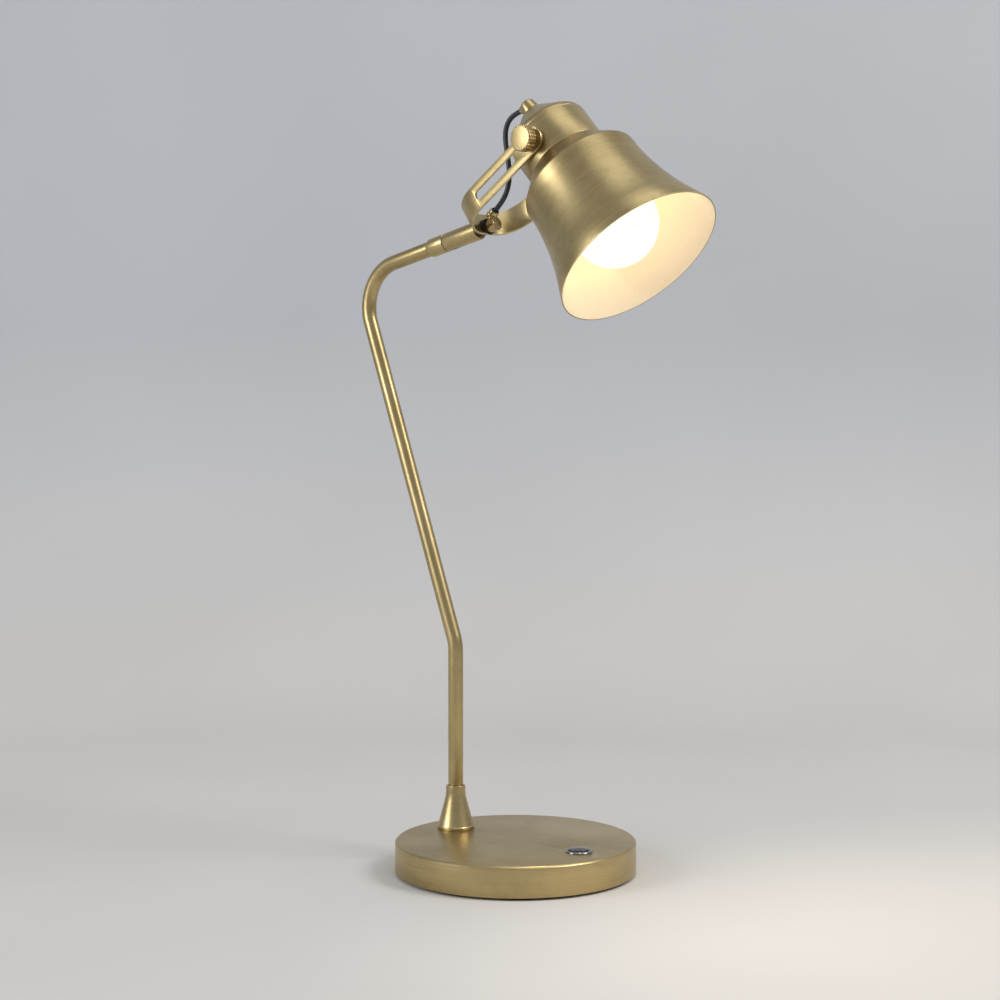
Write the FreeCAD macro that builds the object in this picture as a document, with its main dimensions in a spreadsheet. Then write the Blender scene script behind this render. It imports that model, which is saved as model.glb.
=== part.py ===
import FreeCAD, Part
import math
import os
import re
import Sketcher

# Dome shade desk lamp, in millimetres. X points forward, the way the head reaches, Y to the left
# and Z up. The origin is the centre of the face that the lamp stands on. At rest the lamp is
# symmetric about the plane Y = 0. Formulas below name the sheet's sizes and the laid-out places.

SIZES = [
    # base
    ("base_dia", 170, "across the base cover"),
    ("base_height", 23, "top of the base above the table"),
    ("base_edge", 1.2, "bright chamfer round the top"),
    ("cover_wall", 2, "thickness of the cover"),
    ("cover_lift", 1.8, "lower edge of the cover above the table"),
    ("pad_margin", 4, "cover's edge outside the pad"),
    ("pad_thick", 2, "thickness of the pad"),
    ("plate_thick", 1.6, "thickness of the bottom plate"),
    ("plate_screw_inset", 19, "plate screws inside the cover's edge"),
    ("plate_screw_dia", 4, "thread of the plate screws"),
    ("plate_screw_head", 7.6, "across a countersunk head"),
    ("plate_screw_length", 10, "length of a plate screw"),
    ("plate_screw_count", 3, "plate screws"),
    ("weight_gap", 2.2, "between the weight and the cover's wall"),
    ("channel_width", 27, "width of the wiring channel in the weight"),
    ("channel_depth", 9.4, "depth of the wiring channel"),
    ("terminal_length", 30, "length of the terminal block"),
    ("terminal_width", 16, "width of the terminal block"),
    ("terminal_height", 8, "height of the terminal block"),
    ("wire_hole_dia", 3.2, "wire holes in the terminal block"),
    ("wire_hole_gap", 7, "between the wire holes"),
    ("inlet_height", 8.5, "mains inlet above the table"),
    ("inlet_hole_dia", 7.8, "hole for the inlet bush"),
    ("inlet_bore", 5.4, "bore of the inlet bush"),
    ("inlet_flange_dia", 9.6, "flanges of the inlet bush"),
    ("inlet_flange_thick", 1.2, "thickness of a bush flange"),
    ("inlet_edge", 0.5, "chamfer round the bush's outer flange"),
    ("inlet_slot", 0.3, "longer neck of the bush in its hole"),
    # stem
    ("stem_inset", 27, "stem inside the base's rear edge"),
    ("stem_dia", 10.8, "outside of the stem tube"),
    ("stem_bore", 8.4, "inside of the stem tube"),
    ("stem_bend_height", 157.1, "corner of the lower bend above the table"),
    ("stem_lean", 20.3, "backward lean of the long run, degrees"),
    ("stem_reach", 286.3, "from corner to corner of the two bends"),
    ("lower_bend_radius", 31, "lower bend, on the tube's centre line"),
    ("upper_bend_radius", 33, "upper bend, on the tube's centre line"),
    ("arm_rise", 12.5, "rise of the top run, degrees"),
    ("stem_washer_dia", 20, "washer under the weight"),
    ("stem_washer_thick", 1.2, "thickness of that washer"),
    ("stem_nut_width", 19, "across the corners of the stem nut"),
    ("stem_nut_height", 4, "height of the stem nut"),
    ("stem_tail", 0.8, "tube below the stem nut"),
    ("foot_dia", 26.6, "bottom of the flared foot"),
    ("foot_height", 31.3, "height of the flared foot"),
    ("foot_lip", 2.4, "height of the foot's lip"),
    ("foot_ledge", 0.4, "step from the lip to the cone"),
    ("foot_cone_dia", 15.6, "across the top of the foot's cone"),
    ("foot_cone_height", 21.5, "height of that place"),
    ("foot_hollow", 22.8, "hollow curve from the cone to the collar"),
    ("collar_dia", 14, "across the collar on top of the foot"),
    ("collar_height", 3.8, "height of the collar"),
    ("collar_edge", 0.4, "chamfer on top of the collar"),
    # switch
    ("switch_inset", 27, "switch inside the base's front edge"),
    ("bezel_dia", 19, "across the ring round the button"),
    ("bezel_height", 1.3, "height of that ring"),
    ("switch_dia", 15.8, "outside of the switch housing"),
    ("switch_wall", 0.6, "wall of the switch housing"),
    ("switch_depth", 16, "switch housing below the top of the base"),
    ("switch_cavity", 8, "depth of the button's cavity"),
    ("switch_nut_width", 24, "across the corners of the switch nut"),
    ("switch_nut_height", 3, "height of the switch nut"),
    ("button_rise", 2.8, "top of the button above the base"),
    ("button_crown_radius", 32, "curve of the button's top"),
    ("button_travel", 1.8, "travel of the button"),
    ("button_gap", 0.3, "left under the button when it is pressed"),
    # swivel
    ("sleeve_start", 76.65, "from the corner of the upper bend to the sleeve"),
    ("sleeve_dia", 13.4, "outside of the sleeve"),
    ("sleeve_taper", 2, "length of the taper at the sleeve's start"),
    ("coupling_length", 16.9, "fixed part of the sleeve"),
    ("coupling_seat", 12.5, "depth of the stem in the coupling"),
    ("spigot_dia", 8.4, "pin that the barrel turns on"),
    ("spigot_length", 15, "length of that pin"),
    ("wire_bore", 5, "way for the wires"),
    ("stop_height", 8.6, "stop screw along the pin"),
    ("stop_depth", 0.9, "depth of the stop groove"),
    ("stop_tip_dia", 2.2, "tip of the stop screw"),
    ("stop_screw_dia", 4, "thread of the stop screw"),
    ("head_swing", 85, "swivel to either side, degrees"),
    ("stop_play", 1, "groove past that swing, degrees"),
    ("spigot_room", 1, "room in the barrel past the pin"),
    ("swivel_washer_thick", 0.4, "friction washer in the sleeve"),
    ("barrel_length", 32.05, "turning part of the sleeve"),
    ("sleeve_edge", 0.4, "chamfer on the ends of the barrel"),
    # yoke
    ("yoke_rise", 35, "rise of the yoke's arms, degrees"),
    ("yoke_width", 17.6, "width of the strip"),
    ("yoke_thick", 1.8, "thickness of the strip"),
    ("yoke_span", 63, "across the outside of the two arms"),
    ("yoke_corner", 26.4, "outer bend of the strip"),
    ("yoke_length", 88.6, "from the pivot to the back of the strip"),
    ("yoke_shift", 2.6, "middle of the strip above the sleeve's axis"),
    ("wedge_gap", 4.8, "from the barrel to the strip, along the axis"),
    ("slot_width", 6.4, "width of the slots in the arms"),
    ("slot_near", 18.5, "from the pivot to the slots"),
    ("slot_far", 61.5, "from the pivot to the slots' far ends"),
    ("wedge_dia", 9.8, "wedge between the barrel and the strip"),
    ("inner_wedge_dia", 11.8, "wedge between the strip and the outlet"),
    ("nipple_dia", 6, "hollow nipple through the strip"),
    ("nipple_bore", 4.2, "way for the wires in the nipple"),
    ("nipple_seat", 9, "depth of the nipple in the barrel"),
    ("outlet_gap", 9.4, "from the barrel to the outlet"),
    ("outlet_dia", 9.6, "outlet's barrel"),
    ("outlet_length", 7.6, "length of the outlet's barrel"),
    ("outlet_riser_dia", 7.6, "from the outlet's barrel up to its ball"),
    ("outlet_ball_dia", 8, "ball on the outlet"),
    ("outlet_ball_rise", 6.7, "ball above the sleeve's axis"),
    ("outlet_ball_reach", 4, "ball along the outlet's barrel"),
    ("snout_dia", 7, "snout that holds the bush"),
    ("snout_tilt", 32.5, "snout above the sleeve's axis, degrees"),
    ("snout_length", 4.4, "snout from the middle of the ball"),
    ("bush_dia", 5.2, "black bush in the snout"),
    ("bush_collar", 1, "bush outside the snout"),
    ("bush_seat", 3, "bush inside the snout"),
    # shade and neck, heights along the shade's axis from its rim
    ("shade_pitch", 48, "shade's axis below level, degrees"),
    ("pivot_rise", 14.3, "pivot behind the bell's seat"),
    ("pivot_offset", 3.5, "pivot in front of the shade's axis"),
    ("rim_dia", 120, "rim of the bell"),
    ("flare_dia", 108.4, "bell where its straight rim band ends"),
    ("flare_height", 15.4, "height of the rim band"),
    ("flare_radius", 190, "hollow curve of the bell"),
    ("bell_dia", 86.6, "straight rear part of the bell"),
    ("bell_height", 67.5, "where the straight part starts"),
    ("shoulder_height", 76.9, "where the shoulder starts"),
    ("shoulder_round", 3, "rounded edge of the shoulder"),
    ("shoulder_step", 0.9, "end of that edge in from the side and below the shoulder"),
    ("bell_wall", 1.2, "thickness of the bell"),
    ("bell_slip", 0.5, "inside corners of the shoulder below the outside ones"),
    ("seat_height", 90.5, "seat of the bell on the neck"),
    ("seat_dia", 59.4, "rear end of the shoulder"),
    ("neck_dia", 58.1, "outside of the neck"),
    ("neck_length", 26, "length of the neck"),
    ("neck_wall", 1.6, "thickness of the neck"),
    ("neck_edge", 0.5, "chamfer on the neck's ends"),
    ("boss_dia", 14, "flat bosses at the pivot"),
    ("boss_face", 29.2, "boss faces from the middle"),
    ("boss_root", 26.4, "inner faces of the bosses"),
    ("cap_length", 22.5, "length of the cap behind the neck"),
    ("cap_lift", 3, "from the neck to where the cap's side and cone would meet"),
    ("cap_end_dia", 17, "rear end of the cap"),
    ("cap_wall", 1.5, "thickness of the cap"),
    ("cap_spigot", 3.2, "cap inside the neck"),
    ("gland_base_dia", 13.6, "brass gland where it stands on the cap"),
    ("gland_dia", 11, "gland below its rounded end"),
    ("gland_height", 9.6, "height of the gland"),
    ("gland_round", 1.6, "rounded end of the gland"),
    ("gland_thread", 7, "thread of the gland"),
    ("gland_tail", 6, "thread below the cap's rear face"),
    ("gland_nut_width", 12.7, "across the corners of the gland nut"),
    ("gland_nut_height", 3, "height of the gland nut"),
    ("gland_eye_height", 6.8, "lead's eye above the cap"),
    ("gland_eye_dia", 5.4, "eye that the lead leaves by"),
    ("gland_eye_reach", 6.6, "end of the eye from the axis"),
    ("gland_eye_tilt", 22, "eye turned to the rear, degrees"),
    # lampholder and bulb
    ("holder_hole_dia", 40, "hole in the bell and the neck"),
    ("holder_dia", 39.2, "outside of the lampholder"),
    ("holder_nose", 6.5, "lampholder in front of the seat"),
    ("holder_flange_dia", 48, "flange behind the neck's floor"),
    ("holder_flange", 2, "thickness of that flange"),
    ("holder_depth", 22.5, "lampholder behind the seat"),
    ("holder_floor", 3, "floor of the lampholder"),
    ("ring_dia", 50, "shade ring"),
    ("ring_height", 4, "height of the shade ring"),
    ("shell_dia", 28.8, "outside of the thread shell"),
    ("shell_wall", 0.6, "thickness of the thread shell"),
    ("shell_inset", 2, "thread shell inside the lampholder's front"),
    ("shell_length", 21, "length of the thread shell"),
    ("contact_dia", 7, "centre contact of the lampholder"),
    ("contact_height", 2.9, "height of that contact"),
    ("bulb_dia", 60, "globe of the bulb"),
    ("bulb_shoulder", 38, "where the globe turns into the neck, degrees"),
    ("bulb_neck", 27.2, "neck of the glass"),
    ("bulb_glass_wall", 0.9, "thickness of the glass"),
    ("bulb_length", 105, "length of the bulb"),
    ("bulb_cap_dia", 26.4, "thread of the bulb's cap"),
    ("bulb_cap_end_dia", 15, "rear end of the bulb's cap"),
    ("bulb_cap_taper", 3, "length of the cap's rear taper"),
    ("bulb_tip", 1.5, "height of the bulb's tip contact"),
    ("bulb_tip_dia", 9, "across the tip contact"),
    # clamps
    ("stud_dia", 5, "thread of the clamp screws"),
    ("stud_inset", 1, "clamp screw past its nut"),
    ("stud_seat", 6.5, "clamp screw in the knob"),
    ("pivot_nut_width", 9.2, "across the corners of a pivot nut"),
    ("pivot_nut_height", 4, "height of a pivot nut"),
    ("arm_washer_thick", 0.4, "friction washer beside the arm"),
    ("arm_washer_dia", 13.6, "across that washer"),
    ("knob_dia", 17.8, "across a knob"),
    ("knob_head", 7.5, "thickness of the fluted head"),
    ("knob_hub", 4, "hub between the head and the arm"),
    ("knob_hub_dia", 10.4, "across the hub"),
    ("knob_edge", 0.7, "chamfer round the head"),
    ("flute_count", 22, "flutes round a knob"),
    ("flute_dia", 1.9, "width of a flute"),
    ("flute_out", 0.4, "middle of a flute outside the knob"),
    # lead and fits
    ("lead_dia", 3.6, "lead between the outlet and the gland"),
    ("lead_gap", 0.35, "lead's ends before the bush and the gland's eye"),
    ("running_gap", 0.05, "round a turning pin"),
    ("seat_gap", 0.1, "round a piece in its seat"),
    ("face_gap", 0.1, "between faces that slide"),
    ("drill_past", 1, "a cut past the face that it starts from"),
]

doc = FreeCAD.newDocument("dome_desk_lamp")
sheet = doc.addObject("Spreadsheet::Sheet", "size")
for row, (alias, number, note) in enumerate(SIZES, 1):
    sheet.set(f"A{row}", note)
    sheet.set(f"B{row}", str(number))
    sheet.setAlias(f"B{row}", alias)
doc.recompute()
layout = doc.addObject("App::VarSet", "layout")
owners = {alias: "size." for alias, number, note in SIZES}
pieces = []


def bound(formula):
    """The formula with the sheet or the layout named in front of each of their words."""
    return re.sub(r"[a-z]\w+", lambda word: owners.get(word.group(), "") + word.group(), formula)


def value(formula):
    """The formula's number."""
    number = layout.evalExpression(bound(formula))
    return float(getattr(number, "Value", number))


def lay(word, formula):
    """A place or size that follows from the sheet, kept in the layout under its own name."""
    layout.addProperty("App::PropertyFloat", word, "places")
    layout.setExpression(word, bound(formula))
    doc.recompute()
    owners[word] = "layout."


# Places of the swivel joint, the pivot and the shade's rim, from the base upwards.
lay("stem_offset", "base_dia / 2 - stem_inset")
lay("switch_offset", "base_dia / 2 - switch_inset")
lay("plate_screw_ring", "base_dia / 2 - plate_screw_inset")
lay("plate_top", "pad_thick + plate_thick")
lay("ceiling", "base_height - cover_wall")
lay("channel_top", "plate_top + channel_depth")
lay("stem_low", "channel_top - stem_washer_thick - stem_nut_height - stem_tail")
lay("crook_x", "-stem_offset - stem_reach * sin(stem_lean)")
lay("crook_z", "stem_bend_height + stem_reach * cos(stem_lean)")
lay("lean_run", "lower_bend_radius * tan(stem_lean / 2)")
lay("crook_run", "upper_bend_radius * tan((90 + stem_lean - arm_rise) / 2)")
lay("joint_reach", "sleeve_start + coupling_length")
lay("joint_x", "crook_x + joint_reach * cos(arm_rise)")
lay("joint_z", "crook_z + joint_reach * sin(arm_rise)")
lay("barrel_start", "face_gap + swivel_washer_thick")
lay("barrel_end", "barrel_start + barrel_length")
lay("bevel", "yoke_rise - arm_rise")
lay("strip_reach", "barrel_end + wedge_gap")
lay("strip_x", "joint_x + strip_reach * cos(arm_rise) - yoke_shift * sin(yoke_rise)")
lay("strip_z", "joint_z + strip_reach * sin(arm_rise) + yoke_shift * cos(yoke_rise)")
lay("pivot_height", "seat_height + pivot_rise")
lay("neck_height", "seat_height + neck_length")
lay("cap_height", "neck_height + cap_length")
lay("cap_drop", "(neck_dia - cap_end_dia) / 2 - neck_edge")
lay("cap_climb", "cap_length - cap_lift - neck_edge")
lay("cap_slant", "sqrt(cap_drop ^ 2 + cap_climb ^ 2)")
lay("holder_front", "seat_height - holder_nose")
lay("holder_rear", "seat_height + holder_depth")
lay("bulb_end", "holder_rear - holder_floor - contact_height - face_gap")
lay("bulb_centre", "bulb_end - bulb_length + bulb_dia / 2")
lay("ball_reach", "barrel_end + outlet_gap + outlet_ball_reach")
lay("pivot_x", "strip_x + yoke_length * cos(yoke_rise)")
lay("pivot_z", "strip_z + yoke_length * sin(yoke_rise)")
lay("shade_x", "pivot_x + pivot_height * cos(shade_pitch) - pivot_offset * sin(shade_pitch)")
lay("shade_z", "pivot_z - pivot_height * sin(shade_pitch) - pivot_offset * cos(shade_pitch)")
lay("arm_turn", "90 - arm_rise")
lay("yoke_turn", "360 - yoke_rise")
lay("shade_turn", "270 + shade_pitch")


def place(thing, across="0", side="0", up="0", turn="0"):
    """Bind where a piece stands and how far it is turned about Y."""
    thing.Placement = FreeCAD.Placement(FreeCAD.Vector(), FreeCAD.Rotation(FreeCAD.Vector(0, 1, 0), 1))
    for path, formula in (("Base.x", across), ("Base.y", side), ("Base.z", up), ("Rotation.Angle", turn)):
        thing.setExpression("Placement." + path, bound(formula))


def piece(label, across="0", up="0", turn="0"):
    """A new body with its own label, counted among the lamp's pieces."""
    body = doc.addObject("PartDesign::Body", label)
    body.Label = label
    body.AllowCompound = True
    place(body, across, "0", up, turn)
    pieces.append(body)
    return body


def plane(body, role):
    """One of the body's own planes or axes."""
    return next(datum for datum in body.Origin.OriginFeatures if datum.Role == role)


def drawing(body, role, corners, closed=True):
    """A sketch through corners (across, up), or (across, up, radius) where an arc ends at the
    corner. A negative radius bends to the right. Every corner is bound to its formulas."""
    sketch = body.newObject("Sketcher::SketchObject", "outline")
    sketch.AttachmentSupport = [(plane(body, role), "")]
    sketch.MapMode = "FlatFace"
    spots = [FreeCAD.Vector(value(corner[0]), value(corner[1]), 0) for corner in corners]
    edges = []
    for end in range(0 if closed else 1, len(corners)):
        edges.append((end - 1, end, corners[end][2] if len(corners[end]) > 2 else ""))
    tips = {}
    rules = []
    bindings = []
    for index, (first, last, radius) in enumerate(edges):
        start, stop = spots[first], spots[last]
        if radius:
            bend = value(radius)
            chord = stop - start
            inward = FreeCAD.Vector(-chord.y, chord.x, 0).normalize() * math.copysign(1, bend)
            middle = (start + stop) / 2 + inward * math.sqrt(bend ** 2 - chord.Length ** 2 / 4)
            ends = (start, stop) if bend > 0 else (stop, start)
            angles = [math.atan2((spot - middle).y, (spot - middle).x) for spot in ends]
            circle = Part.Circle(middle, FreeCAD.Vector(0, 0, 1), abs(bend))
            sketch.addGeometry(Part.ArcOfCircle(circle, angles[0], angles[1]))
            rules.append(Sketcher.Constraint("Radius", index, abs(bend)))
            bindings.append((len(rules) - 1, f"abs({radius})"))
            grips = (1, 2) if bend > 0 else (2, 1)
        else:
            sketch.addGeometry(Part.LineSegment(start, stop))
            grips = (1, 2)
        for spot, grip in ((first % len(corners), grips[0]), (last, grips[1])):
            if spot in tips:
                rules.append(Sketcher.Constraint("Coincident", *tips[spot], index, grip))
                continue
            tips[spot] = (index, grip)
            for rule, formula in (("DistanceX", corners[spot][0]), ("DistanceY", corners[spot][1])):
                rules.append(Sketcher.Constraint(rule, -1, 1, index, grip, value(formula)))
                bindings.append((len(rules) - 1, formula))
    sketch.addConstraint(rules)
    for number, formula in bindings:
        sketch.setExpression(f"Constraints[{number}]", bound(formula))
    return sketch


def turned(label, corners, across="0", up="0", turn="0"):
    """A piece turned on a lathe: its half section, as (radius, height) corners, spun about Z."""
    body = piece(label, across, up, turn)
    spin = body.newObject("PartDesign::Revolution", "spin")
    spin.Profile = drawing(body, "XZ_Plane", corners)
    spin.ReferenceAxis = (plane(body, "Z_Axis"), [""])
    spin.Angle = 360
    body.Tip = spin
    return body


def ring(label, inner, outer, low, high, across="0", up="0", turn="0"):
    """A plain ring or disc."""
    corners = [(inner, low), (outer, low), (outer, high), (inner, high)]
    return turned(label, corners, across, up, turn)


def feature(body, kind, sizes, across="0", side="0", up="0", turn="0", name="shape"):
    """A primitive added to or cut from a body, in the body's own frame."""
    shape = body.newObject("PartDesign::" + kind, name)
    for size, formula in sizes.items():
        shape.setExpression(size, bound(formula))
    place(shape, across, side, up, turn)
    body.Tip = shape
    return shape


def drill(body, dia, depth, across="0", side="0", up="0", turn="0"):
    """A round hole from a point upwards along the turned Z."""
    sizes = {"Radius": f"({dia}) / 2", "Height": depth}
    return feature(body, "SubtractiveCylinder", sizes, across, side, up, turn, "hole")


def rod(body, dia, length, across="0", side="0", up="0", turn="0"):
    """A round bar from a point upwards along the turned Z."""
    sizes = {"Radius": f"({dia}) / 2", "Height": length}
    return feature(body, "AdditiveCylinder", sizes, across, side, up, turn, "rod")


def cross(body, kind, dia, near, far, across="0", up="0"):
    """A pair of cylinders along Y, on both sides of the middle, from near to far."""
    made = []
    for side, sign in (("left", ""), ("right", "-")):
        shape = body.newObject("PartDesign::" + kind, side)
        shape.setExpression("Radius", bound(f"({dia}) / 2"))
        shape.setExpression("Height", bound(f"({far}) - ({near})"))
        shape.Placement.Rotation = FreeCAD.Rotation(FreeCAD.Vector(1, 0, 0), -90 if sign == "" else 90)
        shape.setExpression("Placement.Base.x", bound(across))
        shape.setExpression("Placement.Base.y", bound(f"{sign}({near})"))
        shape.setExpression("Placement.Base.z", bound(up))
        body.Tip = shape
        made.append(shape)
    return made


def through_cut(body, role, corners):
    """A pocket right through the body, both ways from one of its planes."""
    pocket = body.newObject("PartDesign::Pocket", "opening")
    pocket.Profile = drawing(body, role, corners)
    pocket.Type = "ThroughAll"
    pocket.Midplane = True
    body.Tip = pocket
    return pocket


def around(body, shapes, count):
    """Repeat features in a ring about the body's Z axis."""
    pattern = body.newObject("PartDesign::PolarPattern", "ring")
    pattern.Originals = shapes
    pattern.Axis = (plane(body, "Z_Axis"), [""])
    pattern.Angle = 360
    pattern.setExpression("Occurrences", bound(count))
    body.Tip = pattern
    return pattern


def nut(label, width, height, bore, across="0", up="0", turn="0"):
    """A hexagonal nut, given across its corners."""
    body = piece(label, across, up, turn)
    feature(body, "AdditivePrism", {"Circumradius": f"{width} / 2", "Height": height}, name="hexagon")
    drill(body, bore, height)
    return body


def make_base():
    ring("base_pad", "0", "base_dia / 2 - pad_margin", "0", "pad_thick")
    plate = ring("base_plate", "0", "base_dia / 2 - cover_wall - seat_gap", "pad_thick", "plate_top")
    screw_hole = "plate_screw_dia + 2 * seat_gap"
    hole = drill(plate, screw_hole, "plate_thick", "0", "plate_screw_ring", "pad_thick")
    sink_sizes = {
        "Radius1": "plate_screw_head / 2 + seat_gap",
        "Radius2": "plate_screw_dia / 2 + seat_gap",
        "Height": "plate_thick"}
    sink = feature(plate, "SubtractiveCone", sink_sizes, "0", "plate_screw_ring", "pad_thick")
    around(plate, [hole, sink], "plate_screw_count")

    screws = piece("plate_screws")
    head_sizes = {
        "Radius1": "plate_screw_head / 2",
        "Radius2": "plate_screw_dia / 2",
        "Height": "plate_thick"}
    head = feature(screws, "AdditiveCone", head_sizes, "0", "plate_screw_ring", "pad_thick")
    shank_length = "plate_screw_length - plate_thick"
    shank = rod(screws, "plate_screw_dia", shank_length, "0", "plate_screw_ring", "plate_top")
    around(screws, [head, shank], "plate_screw_count")

    weight = ring("base_weight", "0", "base_dia / 2 - cover_wall - weight_gap", "plate_top", "ceiling")
    channel = {
        "Length": "base_dia / 2 + switch_offset",
        "Width": "channel_width",
        "Height": "channel_depth"}
    feature(weight, "SubtractiveBox", channel, "-base_dia / 2", "-channel_width / 2", "plate_top")
    drill(weight, "stem_dia + 2 * seat_gap", "ceiling - plate_top", "-stem_offset", "0", "plate_top")
    drill(weight, "channel_width", "ceiling - plate_top", "switch_offset", "0", "plate_top")
    tapped = drill(weight, screw_hole, "plate_screw_length", "0", "plate_screw_ring", "plate_top")
    around(weight, [tapped], "plate_screw_count")

    cover = turned("base_cover", [
        ("base_dia / 2", "cover_lift"),
        ("base_dia / 2", "base_height - base_edge"),
        ("base_dia / 2 - base_edge", "base_height"),
        ("0", "base_height"),
        ("0", "ceiling"),
        ("base_dia / 2 - cover_wall", "ceiling"),
        ("base_dia / 2 - cover_wall", "cover_lift")])
    drill(cover, "stem_dia + 2 * seat_gap", "cover_wall", "-stem_offset", "0", "ceiling")
    drill(cover, "switch_dia + 2 * seat_gap", "cover_wall", "switch_offset", "0", "ceiling")
    drill(cover, "inlet_hole_dia + 2 * seat_gap", "3 * cover_wall", "-base_dia / 2 - cover_wall", "0",
          "inlet_height", "90")

    block = piece("terminal_block", "-terminal_length / 2", "channel_top - terminal_height")
    block_sizes = {
        "Length": "terminal_length",
        "Width": "terminal_width",
        "Height": "terminal_height"}
    feature(block, "AdditiveBox", block_sizes, "0", "-terminal_width / 2")
    for side in ("wire_hole_gap / 2", "-wire_hole_gap / 2"):
        drill(block, "wire_hole_dia", "terminal_length", "0", side, "terminal_height / 2", "90")

    inside = "-cover_wall - inlet_slot"
    turned("mains_bush", [
        ("inlet_bore / 2", f"{inside} - inlet_flange_thick"),
        ("inlet_flange_dia / 2", f"{inside} - inlet_flange_thick"),
        ("inlet_flange_dia / 2", inside),
        ("inlet_hole_dia / 2", inside),
        ("inlet_hole_dia / 2", "seat_gap"),
        ("inlet_flange_dia / 2", "seat_gap"),
        ("inlet_flange_dia / 2 - inlet_edge", "seat_gap + inlet_flange_thick"),
        ("inlet_bore / 2", "seat_gap + inlet_flange_thick")], "-base_dia / 2", "inlet_height", "270")


def make_stem():
    foot_bore = "stem_dia / 2 + seat_gap"
    turned("stem_foot", [
        (foot_bore, "0"),
        ("foot_dia / 2 - foot_ledge / 2", "0"),
        ("foot_dia / 2", "foot_ledge / 2"),
        ("foot_dia / 2", "foot_lip - foot_ledge"),
        ("foot_dia / 2 - foot_ledge", "foot_lip"),
        ("foot_cone_dia / 2", "foot_cone_height"),
        ("collar_dia / 2", "foot_height - collar_height", "-foot_hollow"),
        ("collar_dia / 2", "foot_height - collar_edge"),
        ("collar_dia / 2 - collar_edge", "foot_height"),
        (foot_bore, "foot_height")], "-stem_offset", "base_height")

    tube = piece("stem_tube")
    end = "(sleeve_start + coupling_seat)"
    bend_end = ("-stem_offset - lean_run * sin(stem_lean)", "stem_bend_height + lean_run * cos(stem_lean)")
    crook_end = ("crook_x + crook_run * cos(arm_rise)", "crook_z + crook_run * sin(arm_rise)")
    path = drawing(tube, "XZ_Plane", [
        ("-stem_offset", "stem_low"),
        ("-stem_offset", "stem_bend_height - lean_run"),
        (*bend_end, "lower_bend_radius"),
        ("crook_x + crook_run * sin(stem_lean)", "crook_z - crook_run * cos(stem_lean)"),
        (*crook_end, "-upper_bend_radius"),
        (f"crook_x + {end} * cos(arm_rise)", f"crook_z + {end} * sin(arm_rise)")], closed=False)
    section = tube.newObject("Sketcher::SketchObject", "section")
    section.AttachmentSupport = [(plane(tube, "XY_Plane"), "")]
    section.MapMode = "FlatFace"
    section.setExpression("AttachmentOffset.Base.z", bound("stem_low"))
    centre = FreeCAD.Vector(-value("stem_offset"), 0, 0)
    for index, dia in enumerate(("stem_dia", "stem_bore")):
        section.addGeometry(Part.Circle(centre, FreeCAD.Vector(0, 0, 1), value(dia) / 2))
        section.addConstraint([
            Sketcher.Constraint("Radius", index, value(dia) / 2),
            Sketcher.Constraint("DistanceX", -1, 1, index, 3, centre.x),
            Sketcher.Constraint("PointOnObject", index, 3, -1)])
        section.setExpression(f"Constraints[{3 * index}]", bound(dia + " / 2"))
        section.setExpression(f"Constraints[{3 * index + 1}]", bound("-stem_offset"))
    sweep = tube.newObject("PartDesign::AdditivePipe", "sweep")
    sweep.Profile = section
    sweep.Spine = path
    tube.Tip = sweep

    ring("stem_washer", "stem_dia / 2 + seat_gap", "stem_washer_dia / 2", "channel_top - stem_washer_thick",
         "channel_top", "-stem_offset")
    nut("stem_nut", "stem_nut_width", "stem_nut_height", "stem_dia + 2 * seat_gap", "-stem_offset",
        "stem_low + stem_tail")


def make_switch():
    ring("switch_bezel", "switch_dia / 2 + seat_gap", "bezel_dia / 2", "0", "bezel_height", "switch_offset",
         "base_height")
    turned("switch_housing", [
        ("0", "-switch_depth"),
        ("switch_dia / 2", "-switch_depth"),
        ("switch_dia / 2", "bezel_height"),
        ("switch_dia / 2 - switch_wall", "bezel_height"),
        ("switch_dia / 2 - switch_wall", "-switch_cavity"),
        ("0", "-switch_cavity")], "switch_offset", "base_height")
    nut("switch_nut", "switch_nut_width", "switch_nut_height", "switch_dia + 2 * seat_gap", "switch_offset",
        "ceiling - switch_nut_height")
    button = "switch_dia / 2 - switch_wall - face_gap"
    shoulder = f"button_rise - (button_crown_radius - sqrt(button_crown_radius ^ 2 - ({button}) ^ 2))"
    turned("switch_button", [
        ("0", "-switch_cavity + button_travel + button_gap"),
        (button, "-switch_cavity + button_travel + button_gap"),
        (button, shoulder),
        ("0", "button_rise", "button_crown_radius")], "switch_offset", "base_height")


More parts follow.
